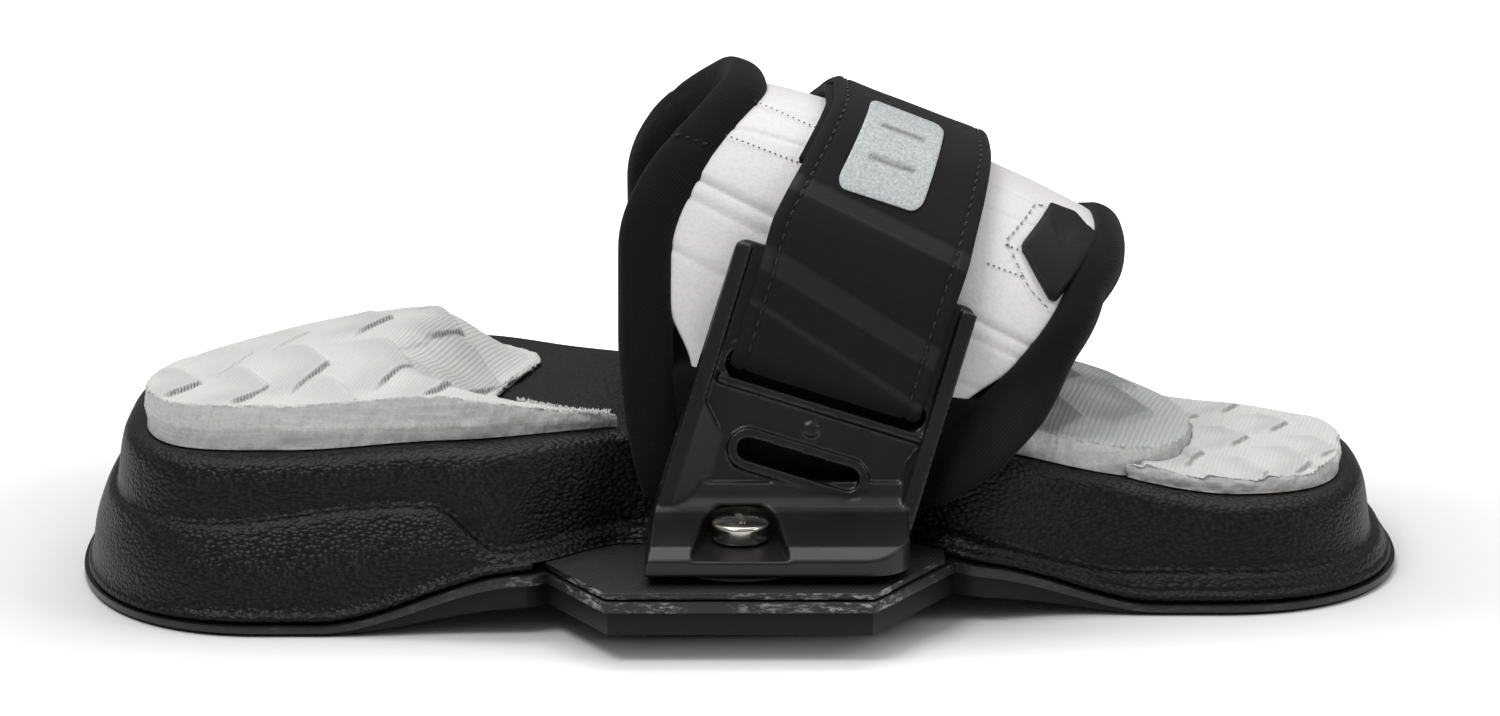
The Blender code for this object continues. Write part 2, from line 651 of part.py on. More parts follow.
def band(name, mat, across, outer, inner, angles, steps):
    """A curved band of the strap.

    across(share) gives its two edges in x, outer(angle) and inner(angle) its insets.
    """
    bm = bmesh.new()
    rows = []
    for angle in angles:
        start, end = across(arch_share(angle))
        xs = [start + (end - start) * k / steps for k in range(steps + 1)]
        top = [bm.verts.new(arch_point(x, angle, outer(angle))) for x in xs]
        under = [bm.verts.new(arch_point(x, angle, inner(angle))) for x in reversed(xs)]
        rows.append(top + under)
    count = len(rows[0])
    for a, b in zip(rows, rows[1:]):
        for i in range(count):
            j = (i + 1) % count
            bm.faces.new((a[i], a[j], b[j], b[i]))
    bm.faces.new(rows[0])
    bm.faces.new(rows[-1][::-1])
    return add_object(name, bm, mat)


def spread(first, last, steps):
    return [first + (last - first) * k / steps for k in range(steps + 1)]


def thickness(angle):
    """The strap is thin at its feet, where it runs between bracket and pad."""
    return STRAP_THICK * (0.44 + 0.56 * smooth(0.05, 0.5, arch_share(angle)))


EDGE_ANKLE = 10.2
EDGE_TOE = 9.5
EDGE_TOE_LOW = 7.0


def ankle_seam(share):
    return ankle_edge(share) + EDGE_ANKLE


def toe_seam(share):
    return toe_edge(share) - EDGE_TOE - EDGE_TOE_LOW * (1.0 - share)


def make_strap():
    neoprene = material("strap_neoprene", (0.012, 0.012, 0.013), 0.9)
    leather = material("strap_leather", (0.80, 0.79, 0.80), 0.45)
    foot = math.asin(0.02)
    full = spread(foot, math.pi - foot, 30)
    shell_share = (SHELL_FOOT_Z - ARCH_FOOT_Z) / 73.0
    shell_foot = math.asin(shell_share ** (ARCH_POWER / 2.0))
    seam = GAP + 0.2

    def lining_top(angle):
        covered = shell_foot - 0.02 < angle < math.pi - shell_foot + 0.02
        return SHELL_THICK + GAP if covered else 0.4 * thickness(angle)

    band("ankle_edging", neoprene, lambda s: (ankle_edge(s), ankle_seam(s) - seam),
         lambda a: -0.3, thickness, full, 3)
    band("toe_edging", neoprene, lambda s: (toe_seam(s) + seam, toe_edge(s)),
         lambda a: -0.3, thickness, full, 3)
    lining_rows = spread(foot, shell_foot - 0.03, 3)
    lining_rows += spread(shell_foot - 0.015, math.pi - shell_foot + 0.015, 22)
    lining_rows += spread(math.pi - shell_foot + 0.03, math.pi - foot, 3)
    band("strap_lining", neoprene, lambda s: (ankle_seam(s) + 0.05, toe_seam(s) - 0.05),
         lining_top, thickness, lining_rows, 5)
    band("strap_shell", leather, lambda s: (ankle_seam(s) + 0.05, toe_seam(s) - 0.05),
         lambda a: 0.0, lambda a: SHELL_THICK, spread(shell_foot, math.pi - shell_foot, 22), 5)


# ---------------------------------------------------------------- belt

BELT_END_SHARE = 0.65


def belt_lift(angle, extra=0.0):
    """How far the belt's inner face stands off the strap: close on the crown, out to the plate lower down."""
    share = arch_share(angle)
    return -(3.8 + extra + 2.2 * (1.0 - smooth(BELT_END_SHARE, 0.9, share)))


def belt_edges(share):
    t = smooth(BELT_END_SHARE - 0.1, 1.0, share) ** 0.8
    return (BELT_ON_BRACKET[0] + (BELT_ON_CROWN[0] - BELT_ON_BRACKET[0]) * t,
            BELT_ON_BRACKET[1] + (BELT_ON_CROWN[1] - BELT_ON_BRACKET[1]) * t)


def belt_leg(name, side, mat):
    """The belt on the bracket: flat between the rails, then in through the slot."""
    start, end = BELT_WIDTH_IN_SLOT
    frame = plate_frame(side)
    q_slot = BELT_SLOT[2]
    flat = [plate_point(start, -0.2), plate_point(start, q_slot - 1.0), plate_point(end, q_slot - 1.0),
            plate_point(end, -0.2)]
    leg = prism(name, flat, GAP, GAP + BELT_THICK, mat, frame)
    tongue = [plate_point(start, q_slot + 1.2), plate_point(start, q_slot - 1.0),
              plate_point(end, q_slot - 1.0), plate_point(end, q_slot + 1.2)]
    return combine(leg, prism("tongue", tongue, -PLATE_WALL + 0.2, GAP + 1.0, mat, frame), 'UNION')


def make_belt():
    webbing = material("belt_microfibre", (0.030, 0.030, 0.031), 0.8)
    end = math.asin(BELT_END_SHARE ** (ARCH_POWER / 2.0))
    band("crown_belt", webbing, belt_edges, lambda a: belt_lift(a, BELT_THICK), belt_lift,
         spread(end, math.pi - end, 20), 4)
    for word, side in (("near", -1.0), ("far", 1.0)):
        belt_leg(word + "_belt_leg", side, webbing)
    under = math.asin(0.86 ** (ARCH_POWER / 2.0))
    band("belt_underlay", webbing, lambda s: (belt_edges(s)[0] - 1.8, belt_edges(s)[1] - 2.0),
         lambda a: -3.5, lambda a: -0.3, spread(under, math.pi - under, 14), 4)
    make_pull_tab(webbing)
    make_trim()


TAB_FOOT_Q = -20.5


def make_pull_tab(webbing):
    """Free end of the belt on the far side, folded back over the belt on its hook patch."""
    hook = material("hook_tape", (0.015, 0.015, 0.016), 0.95)
    frame = plate_frame(1.0)
    start, end = BELT_WIDTH_IN_SLOT
    patch = [plate_point(start + 3.0, -3.0), plate_point(start + 3.0, -15.0),
             plate_point(end - 3.0, -15.0), plate_point(end - 3.0, -3.0)]
    low = GAP + BELT_THICK + 0.25
    prism("hook_patch", patch, low, low + 0.9, hook, frame)
    corners = [plate_point(start, 14.0), plate_point(start, TAB_FOOT_Q), plate_point(end, TAB_FOOT_Q),
               plate_point(end, 14.0)]
    prism("pull_tab", rounded(corners, [9.0, 1.0, 1.0, 9.0]), low + 1.2, low + 1.2 + 1.8, webbing, frame)


def make_trim():
    """Plain patch on the belt and plain tab at the strap's toe edge."""
    pale = material("patch_pale", (0.62, 0.63, 0.63), 0.55)
    rubber = material("tab_rubber", (0.02, 0.02, 0.02), 0.5)

    def patch_edges(share):
        left, right = belt_edges(share)
        middle = (left + right) / 2.0
        return (middle - 9.5, middle + 9.5)

    low = math.asin(0.79 ** (ARCH_POWER / 2.0))
    high = math.asin(0.97 ** (ARCH_POWER / 2.0))
    band("reflective_patch", pale, patch_edges, lambda a: belt_lift(a, BELT_THICK + 0.9),
         lambda a: belt_lift(a, BELT_THICK + 0.3), spread(low, high, 4), 2)
    tab_low = math.asin(0.62 ** (ARCH_POWER / 2.0))
    tab_high = math.asin(0.90 ** (ARCH_POWER / 2.0))
    band("side_tab", rubber, lambda s: (toe_seam(s) - 8.5, toe_seam(s) - 0.6),
         lambda a: -1.1, lambda a: -0.3, spread(tab_low, tab_high, 4), 2)


def build():
    for obj in list(bpy.data.objects):
        bpy.data.objects.remove(obj)
    make_sole()
    make_pad_body()
    make_cushions()
    make_fittings()
    make_strap()
    make_belt()


build()
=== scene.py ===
"""Looks of the strapped foot binding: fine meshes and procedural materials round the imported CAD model.

Lengths are millimetres until a mesh is made. +X points to the toes, +Z up, and the near side is -Y.
"""
import math

import bmesh
import bpy
import numpy as np
from mathutils import Matrix, Vector, noise


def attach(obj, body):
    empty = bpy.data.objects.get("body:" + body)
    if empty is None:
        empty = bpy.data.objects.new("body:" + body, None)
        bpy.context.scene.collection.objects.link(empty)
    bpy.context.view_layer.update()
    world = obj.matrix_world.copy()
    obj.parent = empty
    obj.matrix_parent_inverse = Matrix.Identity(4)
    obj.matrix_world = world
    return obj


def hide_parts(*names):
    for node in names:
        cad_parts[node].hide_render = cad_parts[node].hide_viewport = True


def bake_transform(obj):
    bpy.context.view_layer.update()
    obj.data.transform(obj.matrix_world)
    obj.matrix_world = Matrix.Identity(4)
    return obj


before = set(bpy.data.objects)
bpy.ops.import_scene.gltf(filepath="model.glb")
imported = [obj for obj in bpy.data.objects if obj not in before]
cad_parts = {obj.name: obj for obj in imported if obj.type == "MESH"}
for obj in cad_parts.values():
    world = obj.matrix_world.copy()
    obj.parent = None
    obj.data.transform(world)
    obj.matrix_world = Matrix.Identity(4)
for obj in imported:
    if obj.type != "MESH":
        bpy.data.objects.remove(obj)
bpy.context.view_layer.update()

MM = 0.001
GAP = 0.3

# Footpad, as in the CAD model.
PAD_HALF_LENGTH = 143.3
HEEL_HALF_WIDTH = 65.5
TOE_HALF_WIDTH = 50.5
WAIST_DEPTH = 16.0
WAIST_MIDDLE = 3.0
HEEL_CAP = 45.0
TOE_CAP = 43.0
CAP_STEPS = 8
SIDE_STEPS = 26
STATIONS = 2 * CAP_STEPS + SIDE_STEPS
PAD_FOOT = 2.2
WALL_LEAN = 0.25
LEDGE_STEP = 2.4
SHOULDER = 5.0
LIFT = 6.0
# The black layer under the base sheet stands in for the band of shade under the pad's raised middle: its
# thickness in the middle and at the ends.
SHADE_LAYER_MIDDLE = 5.0
SHADE_LAYER_END = 0.8
SHEET_THICK_MIDDLE = 2.2
SHEET_THICK_END = 1.4
CAMBER_START = 44.0
CAMBER_END = 88.0
PLATE_THICK = 1.4
PLATE_TOP = LIFT + SHADE_LAYER_MIDDLE + SHEET_THICK_MIDDLE + GAP + PLATE_THICK
WING_REACH = 84.0
WING_HALF_LENGTH = 27.5
WING_ROOT_HALF_LENGTH = 42.5
WING_ROOT_Y = 59.0

# Brackets and screws, as in the CAD model.
SCREW_Y = 62.0
SCREW_SHANK_R = 3.0
SCREW_HOLE_R = 3.4
SCREW_HEAD_R = 6.0
CROSS_HALF = (3.7, 0.7)
CROSS_TURN = math.radians(8.0)
DRILL_TOP = 40.0
DISC_R = 15.0
DISC_LOW = PLATE_TOP + GAP
DISC_HIGH = DISC_LOW + 1.1
FLANGE_LOW = DISC_HIGH + GAP
FLANGE_FRONT_Y = 78.0
FLANGE_FACE = 3.6
FLANGE_ENDS = (-21.4, 34.8)
FLANGE_SLANT_Z = 18.5
# The flange's top face from its front edge up to the plate: y, and rise above the front edge.
FLANGE_SWEEP = ((74.4, 2.0), (60.6, 4.0), (58.0, 4.6), (56.2, 5.5), (55.0, 6.9), (54.3, 8.6), (53.8, 9.8),
                (51.4, 9.8))
POCKET_FLOOR = FLANGE_LOW + 3.4
POCKET_SPREAD = 4.4
PLATE_FOOT_Y = 56.0
PLATE_WALL = 3.0
PLATE_LEAN = math.radians(12.0)
PLATE_TURN = math.radians(17.0)
PLATE_WIDTH = 52.4
PLATE_TOP_LEFT = (-0.5, 65.3)
PLATE_FOOT_HEIGHT = 2.5
RAIL_WIDTH = 3.4
RAIL_RISE = 2.6
MELT_VOXEL = 0.36
MELT_EASE = 4
MELT_KEEP = 0.4
BELT_SLOT = (5.2, 48.2, -25.2, 6.4)
SMALL_SLOT = (12.6, 39.0, -41.6, 4.8)

# Strap and belt, as in the CAD model.
ARCH_FOOT_Z = LIFT + 17.0
ARCH_HALF_WIDTH = 46.5
ARCH_POWER = 2.25
ARCH_RISE = 73.0
ARCH_FLARE = 14.5
CROWN_HEEL = (-5.5, LIFT + 101.8)
CROWN_TOE = (81.0, LIFT + 67.8)
CROWN_SWELL = 2.0
STRAP_THICK = 8.0
SHELL_THICK = 4.2
SHELL_FOOT_Z = LIFT + 42.0
BELT_WIDTH_IN_SLOT = (6.1, 47.3)
BELT_THICK = 2.2
BELT_ON_CROWN = (20.0, 53.5)
BELT_ON_BRACKET = (2.2, 45.6)
BELT_END_SHARE = 0.65
EDGE_ANKLE = 10.2
EDGE_TOE = 9.5
EDGE_TOE_LOW = 7.0


def smooth(low, high, value):
    t = min(1.0, max(0.0, (value - low) / (high - low)))
    return t * t * (3.0 - 2.0 * t)


def window(value, start, full, fade, end):
    """0 outside start and end, and 1 between full and fade."""
    return smooth(start, full, value) * (1.0 - smooth(fade, end, value))


def eased(step, count):
    """A share from 0 to 1 that moves in small steps near both ends."""
    return 0.5 - 0.5 * math.cos(math.pi * step / count)


def fullness(share, power, root):
    """1 over most of a section, and rounding off to 0 at both ends."""
    return (1.0 - abs(2.0 * share - 1.0) ** power) ** (1.0 / root)


def ramp(low, high, values):
    """The same smooth ramp for an array."""
    t = np.clip((values - low) / (high - low), 0.0, 1.0)
    return t * t * (3.0 - 2.0 * t)


# ---------------------------------------------------------------- node materials

def grey(level):
    return (level, level, level)


class Nodes:
    """The nodes of one tree."""

    def __init__(self, tree):
        self.tree = tree

    def node(self, kind, settings=None, **inputs):
        made = self.tree.nodes.new("ShaderNode" + kind)
        for key, value in (settings or {}).items():
            setattr(made, key, value)
        for key, value in inputs.items():
            key = key.replace("_", " ")
            numbered = key.startswith("in") and key[2:].isdigit()
            socket = made.inputs[int(key[2:]) if numbered else key]
            if isinstance(value, bpy.types.NodeSocket):
                self.tree.links.new(value, socket)
            else:
                socket.default_value = value
        return made


class Look(Nodes):
    """One procedural material: a Principled shader and the nodes that feed it."""

    def __init__(self, name, colour, roughness, **fixed):
        self.material = bpy.data.materials.new(name)
        self.material.use_nodes = True
        super().__init__(self.material.node_tree)
        self.shader = self.tree.nodes["Principled BSDF"]
        self.shader.inputs["Base Color"].default_value = (*colour, 1.0)
        self.shader.inputs["Roughness"].default_value = roughness
        for socket, value in fixed.items():
            self.shader.inputs[socket.replace("_", " ")].default_value = value
        self.heights = None

    def place(self, scale=(1.0, 1.0, 1.0), turn=(0.0, 0.0, 0.0), attribute=None):
        """Coordinates in the row frame, or those in a mesh attribute, scaled and turned."""
        if attribute:
            source = self.node("Attribute", {"attribute_name": attribute}).outputs["Vector"]
        else:
            source = self.node("TexCoord").outputs["Object"]
        return self.node("Mapping", Vector=source, Scale=scale, Rotation=turn).outputs["Vector"]

    def value(self, attribute):
        return self.node("Attribute", {"attribute_name": attribute}).outputs["Fac"]

    def noise(self, scale, detail=3.0, roughness=0.55, where=None):
        return self.node("TexNoise", Vector=where or self.place(), Scale=scale, Detail=detail,
                         Roughness=roughness).outputs["Fac"]

    def cells(self, scale, where=None, feature='F1'):
        return self.node("TexVoronoi", {"feature": feature}, Vector=where or self.place(),
                         Scale=scale).outputs["Distance"]

    def waves(self, scale, where, direction='X', distortion=0.0, detail_scale=1.0):
        return self.node("TexWave", {"bands_direction": direction}, Vector=where, Scale=scale,
                         Distortion=distortion, Detail_Scale=detail_scale).outputs["Fac"]

    def maths(self, operation, a, b=0.0):
        return self.node("Math", {"operation": operation}, in0=a, in1=b).outputs[0]

    def times(self, a, b):
        return self.maths('MULTIPLY', a, b)

    def plus(self, a, b):
        return self.maths('ADD', a, b)

    def opposite(self, a):
        """1 where a is 0, and 0 where a is 1."""
        return self.maths('SUBTRACT', 1.0, a)

    def steps(self, value, low, high):
        """0 below low, 1 above high."""
        return self.node("MapRange", Value=value, From_Min=low, From_Max=high).outputs["Result"]

    def mix(self, factor, a, b):
        a = (*a, 1.0) if isinstance(a, tuple) and len(a) == 3 else a
        b = (*b, 1.0) if isinstance(b, tuple) and len(b) == 3 else b
        return self.node("Mix", {"data_type": 'RGBA'}, in0=factor, in6=a, in7=b).outputs[2]

    def colour(self, output):
        self.tree.links.new(output, self.shader.inputs["Base Color"])
        return self

    def rough(self, factor, low, high):
        out = self.node("MapRange", Value=factor, To_Min=low, To_Max=high).outputs["Result"]
        self.tree.links.new(out, self.shader.inputs["Roughness"])
        return self

    def bump(self, height, strength, distance):
        made = self.node("Bump", Height=height, Strength=strength, Distance=distance)
        if self.heights is not None:
            self.tree.links.new(self.heights, made.inputs["Normal"])
        self.heights = made.outputs["Normal"]
        self.tree.links.new(self.heights, self.shader.inputs["Normal"])
        return self


def foam_look():
    """Moulded black EVA with a pebbled leather grain; its pebble tops are painted lighter as painted highlight,
    and the hollows between them darker as painted shade.
    """
    look = Look("pad_foam_grain_and_highlight", grey(0.01), 0.42, Specular_IOR_Level=0.28)
    where = look.place((0.8, 0.9, 1.25))
    drift = look.noise(60.0, 2.0)
    ripple = look.node("TexNoise", Vector=where, Scale=220.0).outputs["Color"]
    ripple = look.node("VectorMath", {"operation": 'SCALE'}, in0=ripple, Scale=0.0005).outputs[0]
    moved = look.node("VectorMath", {"operation": 'ADD'}, in0=where, in1=ripple).outputs[0]
    grain = look.cells(1050.0, moved)
    # Pebble tops painted lighter and hollows darker: painted highlight and painted shade on the grain.
    look.colour(look.mix(look.steps(grain, 0.12, 0.6), (0.0118, 0.0116, 0.011), grey(0.0012)))
    look.rough(drift, 0.36, 0.5)
    look.bump(look.noise(30.0, 3.0), 0.12, 0.0008)
    return look.bump(look.opposite(grain), 0.66, 0.00042).material


def rubber_look(name, tone, roughness):
    look = Look(name, grey(tone), roughness, Specular_IOR_Level=0.24)
    drift = look.noise(90.0, 4.0)
    look.colour(look.mix(drift, grey(tone * 0.7), (tone * 1.35, tone * 1.35, tone * 1.37)))
    look.rough(drift, roughness - 0.08, roughness + 0.1)
    return look.bump(look.noise(1800.0, 2.0), 0.18, 0.0001).material


def edge_wear_and_glint_look():
    """A cut plastic edge with small broken bright streaks, mostly along the wings: rub marks, and painted
    highlight for the glints along the edge.
    """
    look = Look("sheet_edge_worn", grey(0.006), 0.35, Specular_IOR_Level=0.6)
    streak = look.noise(700.0, 5.0, 0.75, look.place((0.45, 0.45, 1.6)))
    patch = look.noise(70.0, 2.0)
    rubs_and_glints = look.times(look.steps(streak, 0.50, 0.62), look.steps(patch, 0.44, 0.62))
    along = look.node("SeparateXYZ", Vector=look.place()).outputs["X"]
    at_wings = look.opposite(look.steps(look.maths('ABSOLUTE', along), 0.043, 0.056))
    rubs_and_glints = look.times(rubs_and_glints, look.maths('MAXIMUM', at_wings, 0.12))
    # Bright streaks: rub marks together with painted highlight for glints on the edge.
    look.colour(look.mix(rubs_and_glints, grey(0.006), grey(0.42)))
    look.rough(streak, 0.18, 0.5)
    return look.bump(streak, 0.6, 0.0003).material


def plate_look():
    """Black plate with a fine square mesh texture."""
    look = Look("plate_mesh", grey(0.02), 0.55, Specular_IOR_Level=0.45)
    where = look.place(turn=(0.0, 0.0, 0.35))
    mesh = look.times(look.waves(330.0, where, 'X', 0.4), look.waves(330.0, where, 'Y', 0.4))
    look.colour(look.mix(mesh, grey(0.004), grey(0.014)))
    look.rough(look.noise(160.0), 0.45, 0.65)
    return look.bump(mesh, 0.5, 0.0003).material


def nylon_look():
    """Satin glass-filled nylon, painted a little lighter along its sharp edges as painted highlight."""
    look = Look("bracket_satin", grey(0.02), 0.4, Specular_IOR_Level=0.5)
    edge = look.node("NewGeometry").outputs["Pointiness"]
    # Sharp edges found by pointiness are painted lighter: painted highlight.
    worn = look.times(look.steps(edge, 0.53, 0.60), look.steps(look.noise(240.0, 4.0), 0.35, 0.7))
    cloud = look.noise(55.0, 4.0)
    base = look.mix(cloud, grey(0.0045), (0.0085, 0.008, 0.008))
    look.colour(look.mix(worn, base, (0.045, 0.044, 0.044)))
    look.rough(cloud, 0.29, 0.43)
    return look.bump(look.noise(2600.0, 2.0, 0.6), 0.28, 0.00009).material


def steel_look():
    look = Look("screw_polished", (0.66, 0.63, 0.58), 0.16, Metallic=1.0)
    scratch = look.noise(900.0, 4.0, 0.7, look.place((0.25, 2.0, 1.0)))
    look.colour(look.mix(scratch, (0.74, 0.71, 0.66), (0.50, 0.47, 0.42)))
    look.rough(scratch, 0.10, 0.30)
    return look.bump(scratch, 0.12, 0.00008).material


def disc_look():
    look = Look("disc_gloss", grey(0.012), 0.25, Coat_Weight=0.2)
    swirl = look.noise(300.0, 3.0)
    look.colour(look.mix(swirl, grey(0.004), grey(0.009)))
    look.rough(swirl, 0.2, 0.38)
    return look.bump(swirl, 0.1, 0.0001).material


def cushion_top_look(name, light, dark, turn, rib, depth):
    """Ribbed cover fabric; its mesh carries how deep in a groove a point lies, painted dark there as crease
    shade, and how shaded a facet is.
    """
    look = Look(name, light, 0.85, Sheen_Weight=0.15, Specular_IOR_Level=0.25)
    where = look.place(turn=(0.0, 0.0, turn))
    ribs = look.waves(rib, where, 'X', 0.4, 3.0)
    cross = look.waves(520.0, where, 'Y', 0.4, 3.0)
    weave = look.plus(look.times(ribs, 0.65), look.times(cross, 0.35))
    tone = look.mix(look.value("shade"), light, dark)
    tone = look.mix(look.times(look.opposite(weave), depth), tone,
                    tuple(c * 0.55 for c in light))
    soil = look.steps(look.noise(35.0, 4.0), 0.55, 0.85)
    tone = look.mix(look.times(soil, 0.12), tone, (0.50, 0.49, 0.46))
    # Dark lines along the scale creases: painted shade where the mesh is too coarse for the crease to show it.
    crease_shade = look.times(look.value("groove"), look.steps(look.noise(1300.0, 4.0, 0.8), 0.2, 0.5))
    look.colour(look.mix(crease_shade, tone, (0.045, 0.045, 0.048)))
    look.rough(weave, 0.78, 0.95)
    look.bump(look.noise(160.0, 3.0), 0.15, 0.0006)
    return look.bump(weave, 0.45, 0.00028).material


def foam_side_look():
    """Grey-white open-cell foam, cut at the sides of the cushions."""
    look = Look("cushion_foam_cut", (0.68, 0.68, 0.67), 0.95, Specular_IOR_Level=0.2)
    grain = look.noise(1300.0, 4.0, 0.7)
    layers = look.noise(55.0, 4.0, 0.6, look.place((0.35, 0.35, 6.0)))
    tone = look.mix(look.steps(layers, 0.35, 0.7), grey(0.58), (0.77, 0.77, 0.76))
    stain = look.steps(look.noise(42.0, 3.0, 0.5, look.place((0.7, 0.7, 4.0))), 0.62, 0.74)
    tone = look.mix(look.times(stain, 0.35), tone, (0.46, 0.42, 0.35))
    look.colour(look.mix(look.steps(grain, 0.45, 0.75), tone, grey(0.50)))
    look.bump(layers, 0.5, 0.0012)
    return look.bump(look.plus(grain, look.noise(1500.0, 3.0)), 0.35, 0.0002).material


def knit_look():
    """Black knit face of the neoprene."""
    look = Look("neoprene_knit", (0.004, 0.004, 0.005), 0.9, Sheen_Weight=0.05, Sheen_Roughness=0.5,
                Specular_IOR_Level=0.15)
    one = look.waves(0.55, look.place(turn=(0.0, 0.0, 0.6), attribute="cloth"), 'X', 1.2, 0.6)
    two = look.waves(0.55, look.place(turn=(0.0, 0.0, -0.6), attribute="cloth"), 'X', 1.2, 0.6)
    knit = look.maths('MAXIMUM', one, two)
    look.colour(look.mix(knit, (0.0012, 0.0012, 0.0015), (0.0062, 0.0062, 0.0068)))
    look.rough(knit, 0.95, 0.75)
    look.bump(look.noise(120.0, 3.0), 0.3, 0.0008)
    return look.bump(knit, 0.5, 0.00016).material


def leather_look():
    """White synthetic leather, finely grained, with painted shade darkening its embossed lines."""
    look = Look("shell_leather", (0.82, 0.80, 0.81), 0.42, Specular_IOR_Level=0.5)
    grain = look.cells(1500.0, None, 'SMOOTH_F1')
    cloud = look.noise(28.0, 4.0)
    tone = look.mix(cloud, (0.85, 0.83, 0.845), (0.93, 0.915, 0.92))
    tone = look.mix(look.times(look.steps(grain, 0.35, 0.8), 0.25), tone, (0.62, 0.60, 0.61))
    # The embossed lines' groove value darkens the leather: painted shade in the grooves.
    look.colour(look.mix(look.value("groove"), tone, (0.40, 0.385, 0.39)))
    look.rough(grain, 0.36, 0.55)
    look.bump(look.noise(170.0, 4.0), 0.18, 0.0006)
    return look.bump(look.opposite(grain), 0.32, 0.00022).material


def belt_look():
    """Black brushed microfibre with smoother embossed bands."""
    look = Look("belt_microfibre", grey(0.008), 0.82, Sheen_Weight=0.04, Specular_IOR_Level=0.25)
    nap = look.noise(1700.0, 4.0, 0.7)
    cloud = look.noise(45.0, 4.0)
    tone = look.mix(nap, grey(0.004), (0.0115, 0.011, 0.011))
    tone = look.mix(look.times(look.steps(cloud, 0.55, 0.8), 0.2), tone, (0.016, 0.0155, 0.0155))
    look.colour(look.mix(look.value("band"), tone, (0.016, 0.0155, 0.0155)))
    look.rough(look.value("band"), 0.86, 0.58)
    look.bump(cloud, 0.2, 0.0006)
    return look.bump(nap, 0.4, 0.00022).material


def hook_look():
    look = Look("hook_tape_black", grey(0.012), 0.9, Sheen_Weight=0.2)
    hooks = look.cells(1100.0)
    look.colour(look.mix(hooks, grey(0.028), grey(0.004)))
    return look.bump(look.opposite(hooks), 0.9, 0.0006).material


def reflective_look():
    """Pale film with glass beads."""
    look = Look("patch_beaded", (0.60, 0.62, 0.62), 0.42, Specular_IOR_Level=0.6)
    beads = look.cells(2600.0)
    speckle = look.noise(1500.0, 4.0, 0.8)
    tone = look.mix(look.steps(speckle, 0.40, 0.66), (0.40, 0.42, 0.42), (0.70, 0.73, 0.74))
    look.colour(look.mix(look.value("groove"), tone, grey(0.10)))
    look.rough(speckle, 0.3, 0.6)
    return look.bump(look.opposite(beads), 0.35, 0.00015).material


def thread_look(name, tone):
    look = Look(name, grey(tone), 0.6, Sheen_Weight=0.2)
    twist = look.waves(520.0, look.place(turn=(0.3, 0.5, 0.4)), 'DIAGONAL', 0.0)
    look.colour(look.mix(twist, grey(tone * 0.5), grey(tone * 1.4)))
    return look.bump(twist, 0.5, 0.0002).material


FOAM = foam_look()
# Black for the layer under the sheet, a dark sheet standing in for shade.
SHADE_LAYER = rubber_look("sole_shade_layer_black", 0.006, 0.42)
TAB = rubber_look("tab_soft_black", 0.006, 0.5)
SHEET = rubber_look("sheet_satin_black", 0.007, 0.36)
# Edge streaks: wear and painted highlight.
EDGE_WEAR_AND_GLINT = edge_wear_and_glint_look()
PLATE = plate_look()
NYLON = nylon_look()
STEEL = steel_look()
DISC = disc_look()
CUSHION_WHITE = cushion_top_look("cushion_white_ribbed", (0.78, 0.78, 0.77), grey(0.64), 0.22, 340.0, 0.34)
CUSHION_GREY = cushion_top_look("cushion_grey_ribbed", (0.74, 0.745, 0.745), (0.28, 0.285, 0.285), 0.2, 290.0,
                                0.6)
FOAM_SIDE = foam_side_look()
KNIT = knit_look()
LEATHER = leather_look()
BELT = belt_look()
HOOK = hook_look()
PATCH = reflective_look()
BLACK_THREAD = thread_look("thread_black", 0.0025)
WHITE_THREAD = thread_look("thread_grey", 0.45)
PERFORATION = rubber_look("perforation_dark", 0.10, 0.8)


# ---------------------------------------------------------------- mesh tools

def add_object(name, bm, mats, angle=40.0):
    """Turn a bmesh in millimetres into a smooth-shaded object in metres."""
    bmesh.ops.recalc_face_normals(bm, faces=bm.faces[:])
    bmesh.ops.transform(bm, matrix=Matrix.Scale(MM, 4), verts=bm.verts[:])
    mesh = bpy.data.meshes.new(name)
    bm.to_mesh(mesh)
    bm.free()
    for mat in mats:
        mesh.materials.append(mat)
    mesh.shade_smooth()
    mesh.set_sharp_from_angle(angle=math.radians(angle))
    obj = bpy.data.objects.new(name, mesh)
    bpy.context.scene.collection.objects.link(obj)
    return obj


def combine(obj, tool, operation):
    """Apply one Boolean to obj and remove its tool."""
    step = obj.modifiers.new(operation, 'BOOLEAN')
    step.operation = operation
    step.object = tool
    return settle(obj, tool)


def settle(obj, tool=None):
    """Apply every modifier of obj."""
    bpy.context.view_layer.update()
    evaluated = obj.evaluated_get(bpy.context.evaluated_depsgraph_get())
    mesh = bpy.data.meshes.new_from_object(evaluated)
    obj.modifiers.clear()
    obj.data = mesh
    mesh.name = obj.name
    if tool is not None:
        bpy.data.objects.remove(tool)
    return obj


def soften(obj, width, segments=2, angle=40.0):
    """Round the object's sharp edges."""
    step = obj.modifiers.new("bevel", 'BEVEL')
    step.width = width * MM
    step.segments = segments
    step.limit_method = 'ANGLE'
    step.angle_limit = math.radians(angle)
    settle(obj)
    obj.data.shade_smooth()
    obj.data.set_sharp_from_angle(angle=math.radians(angle))
    return obj


def finish_piece(obj, body, slot, *nodes):
    """Let a piece ride on its body and stand for CAD nodes."""
    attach(obj, body)
    if nodes:
        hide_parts(*nodes)
    return obj


def prism(name, outline, low, high, mats=(), matrix=None):
    """An upright solid over an outline, then moved by a matrix."""
    bm = bmesh.new()
    face = bm.faces.new([bm.verts.new((x, y, low)) for x, y in outline])
    grown = bmesh.ops.extrude_face_region(bm, geom=[face])
    lifted = [v for v in grown["geom"] if isinstance(v, bmesh.types.BMVert)]
    bmesh.ops.translate(bm, verts=lifted, vec=(0.0, 0.0, high - low))
    if matrix is not None:
        bmesh.ops.transform(bm, matrix=matrix, verts=bm.verts[:])
    return add_object(name, bm, mats)


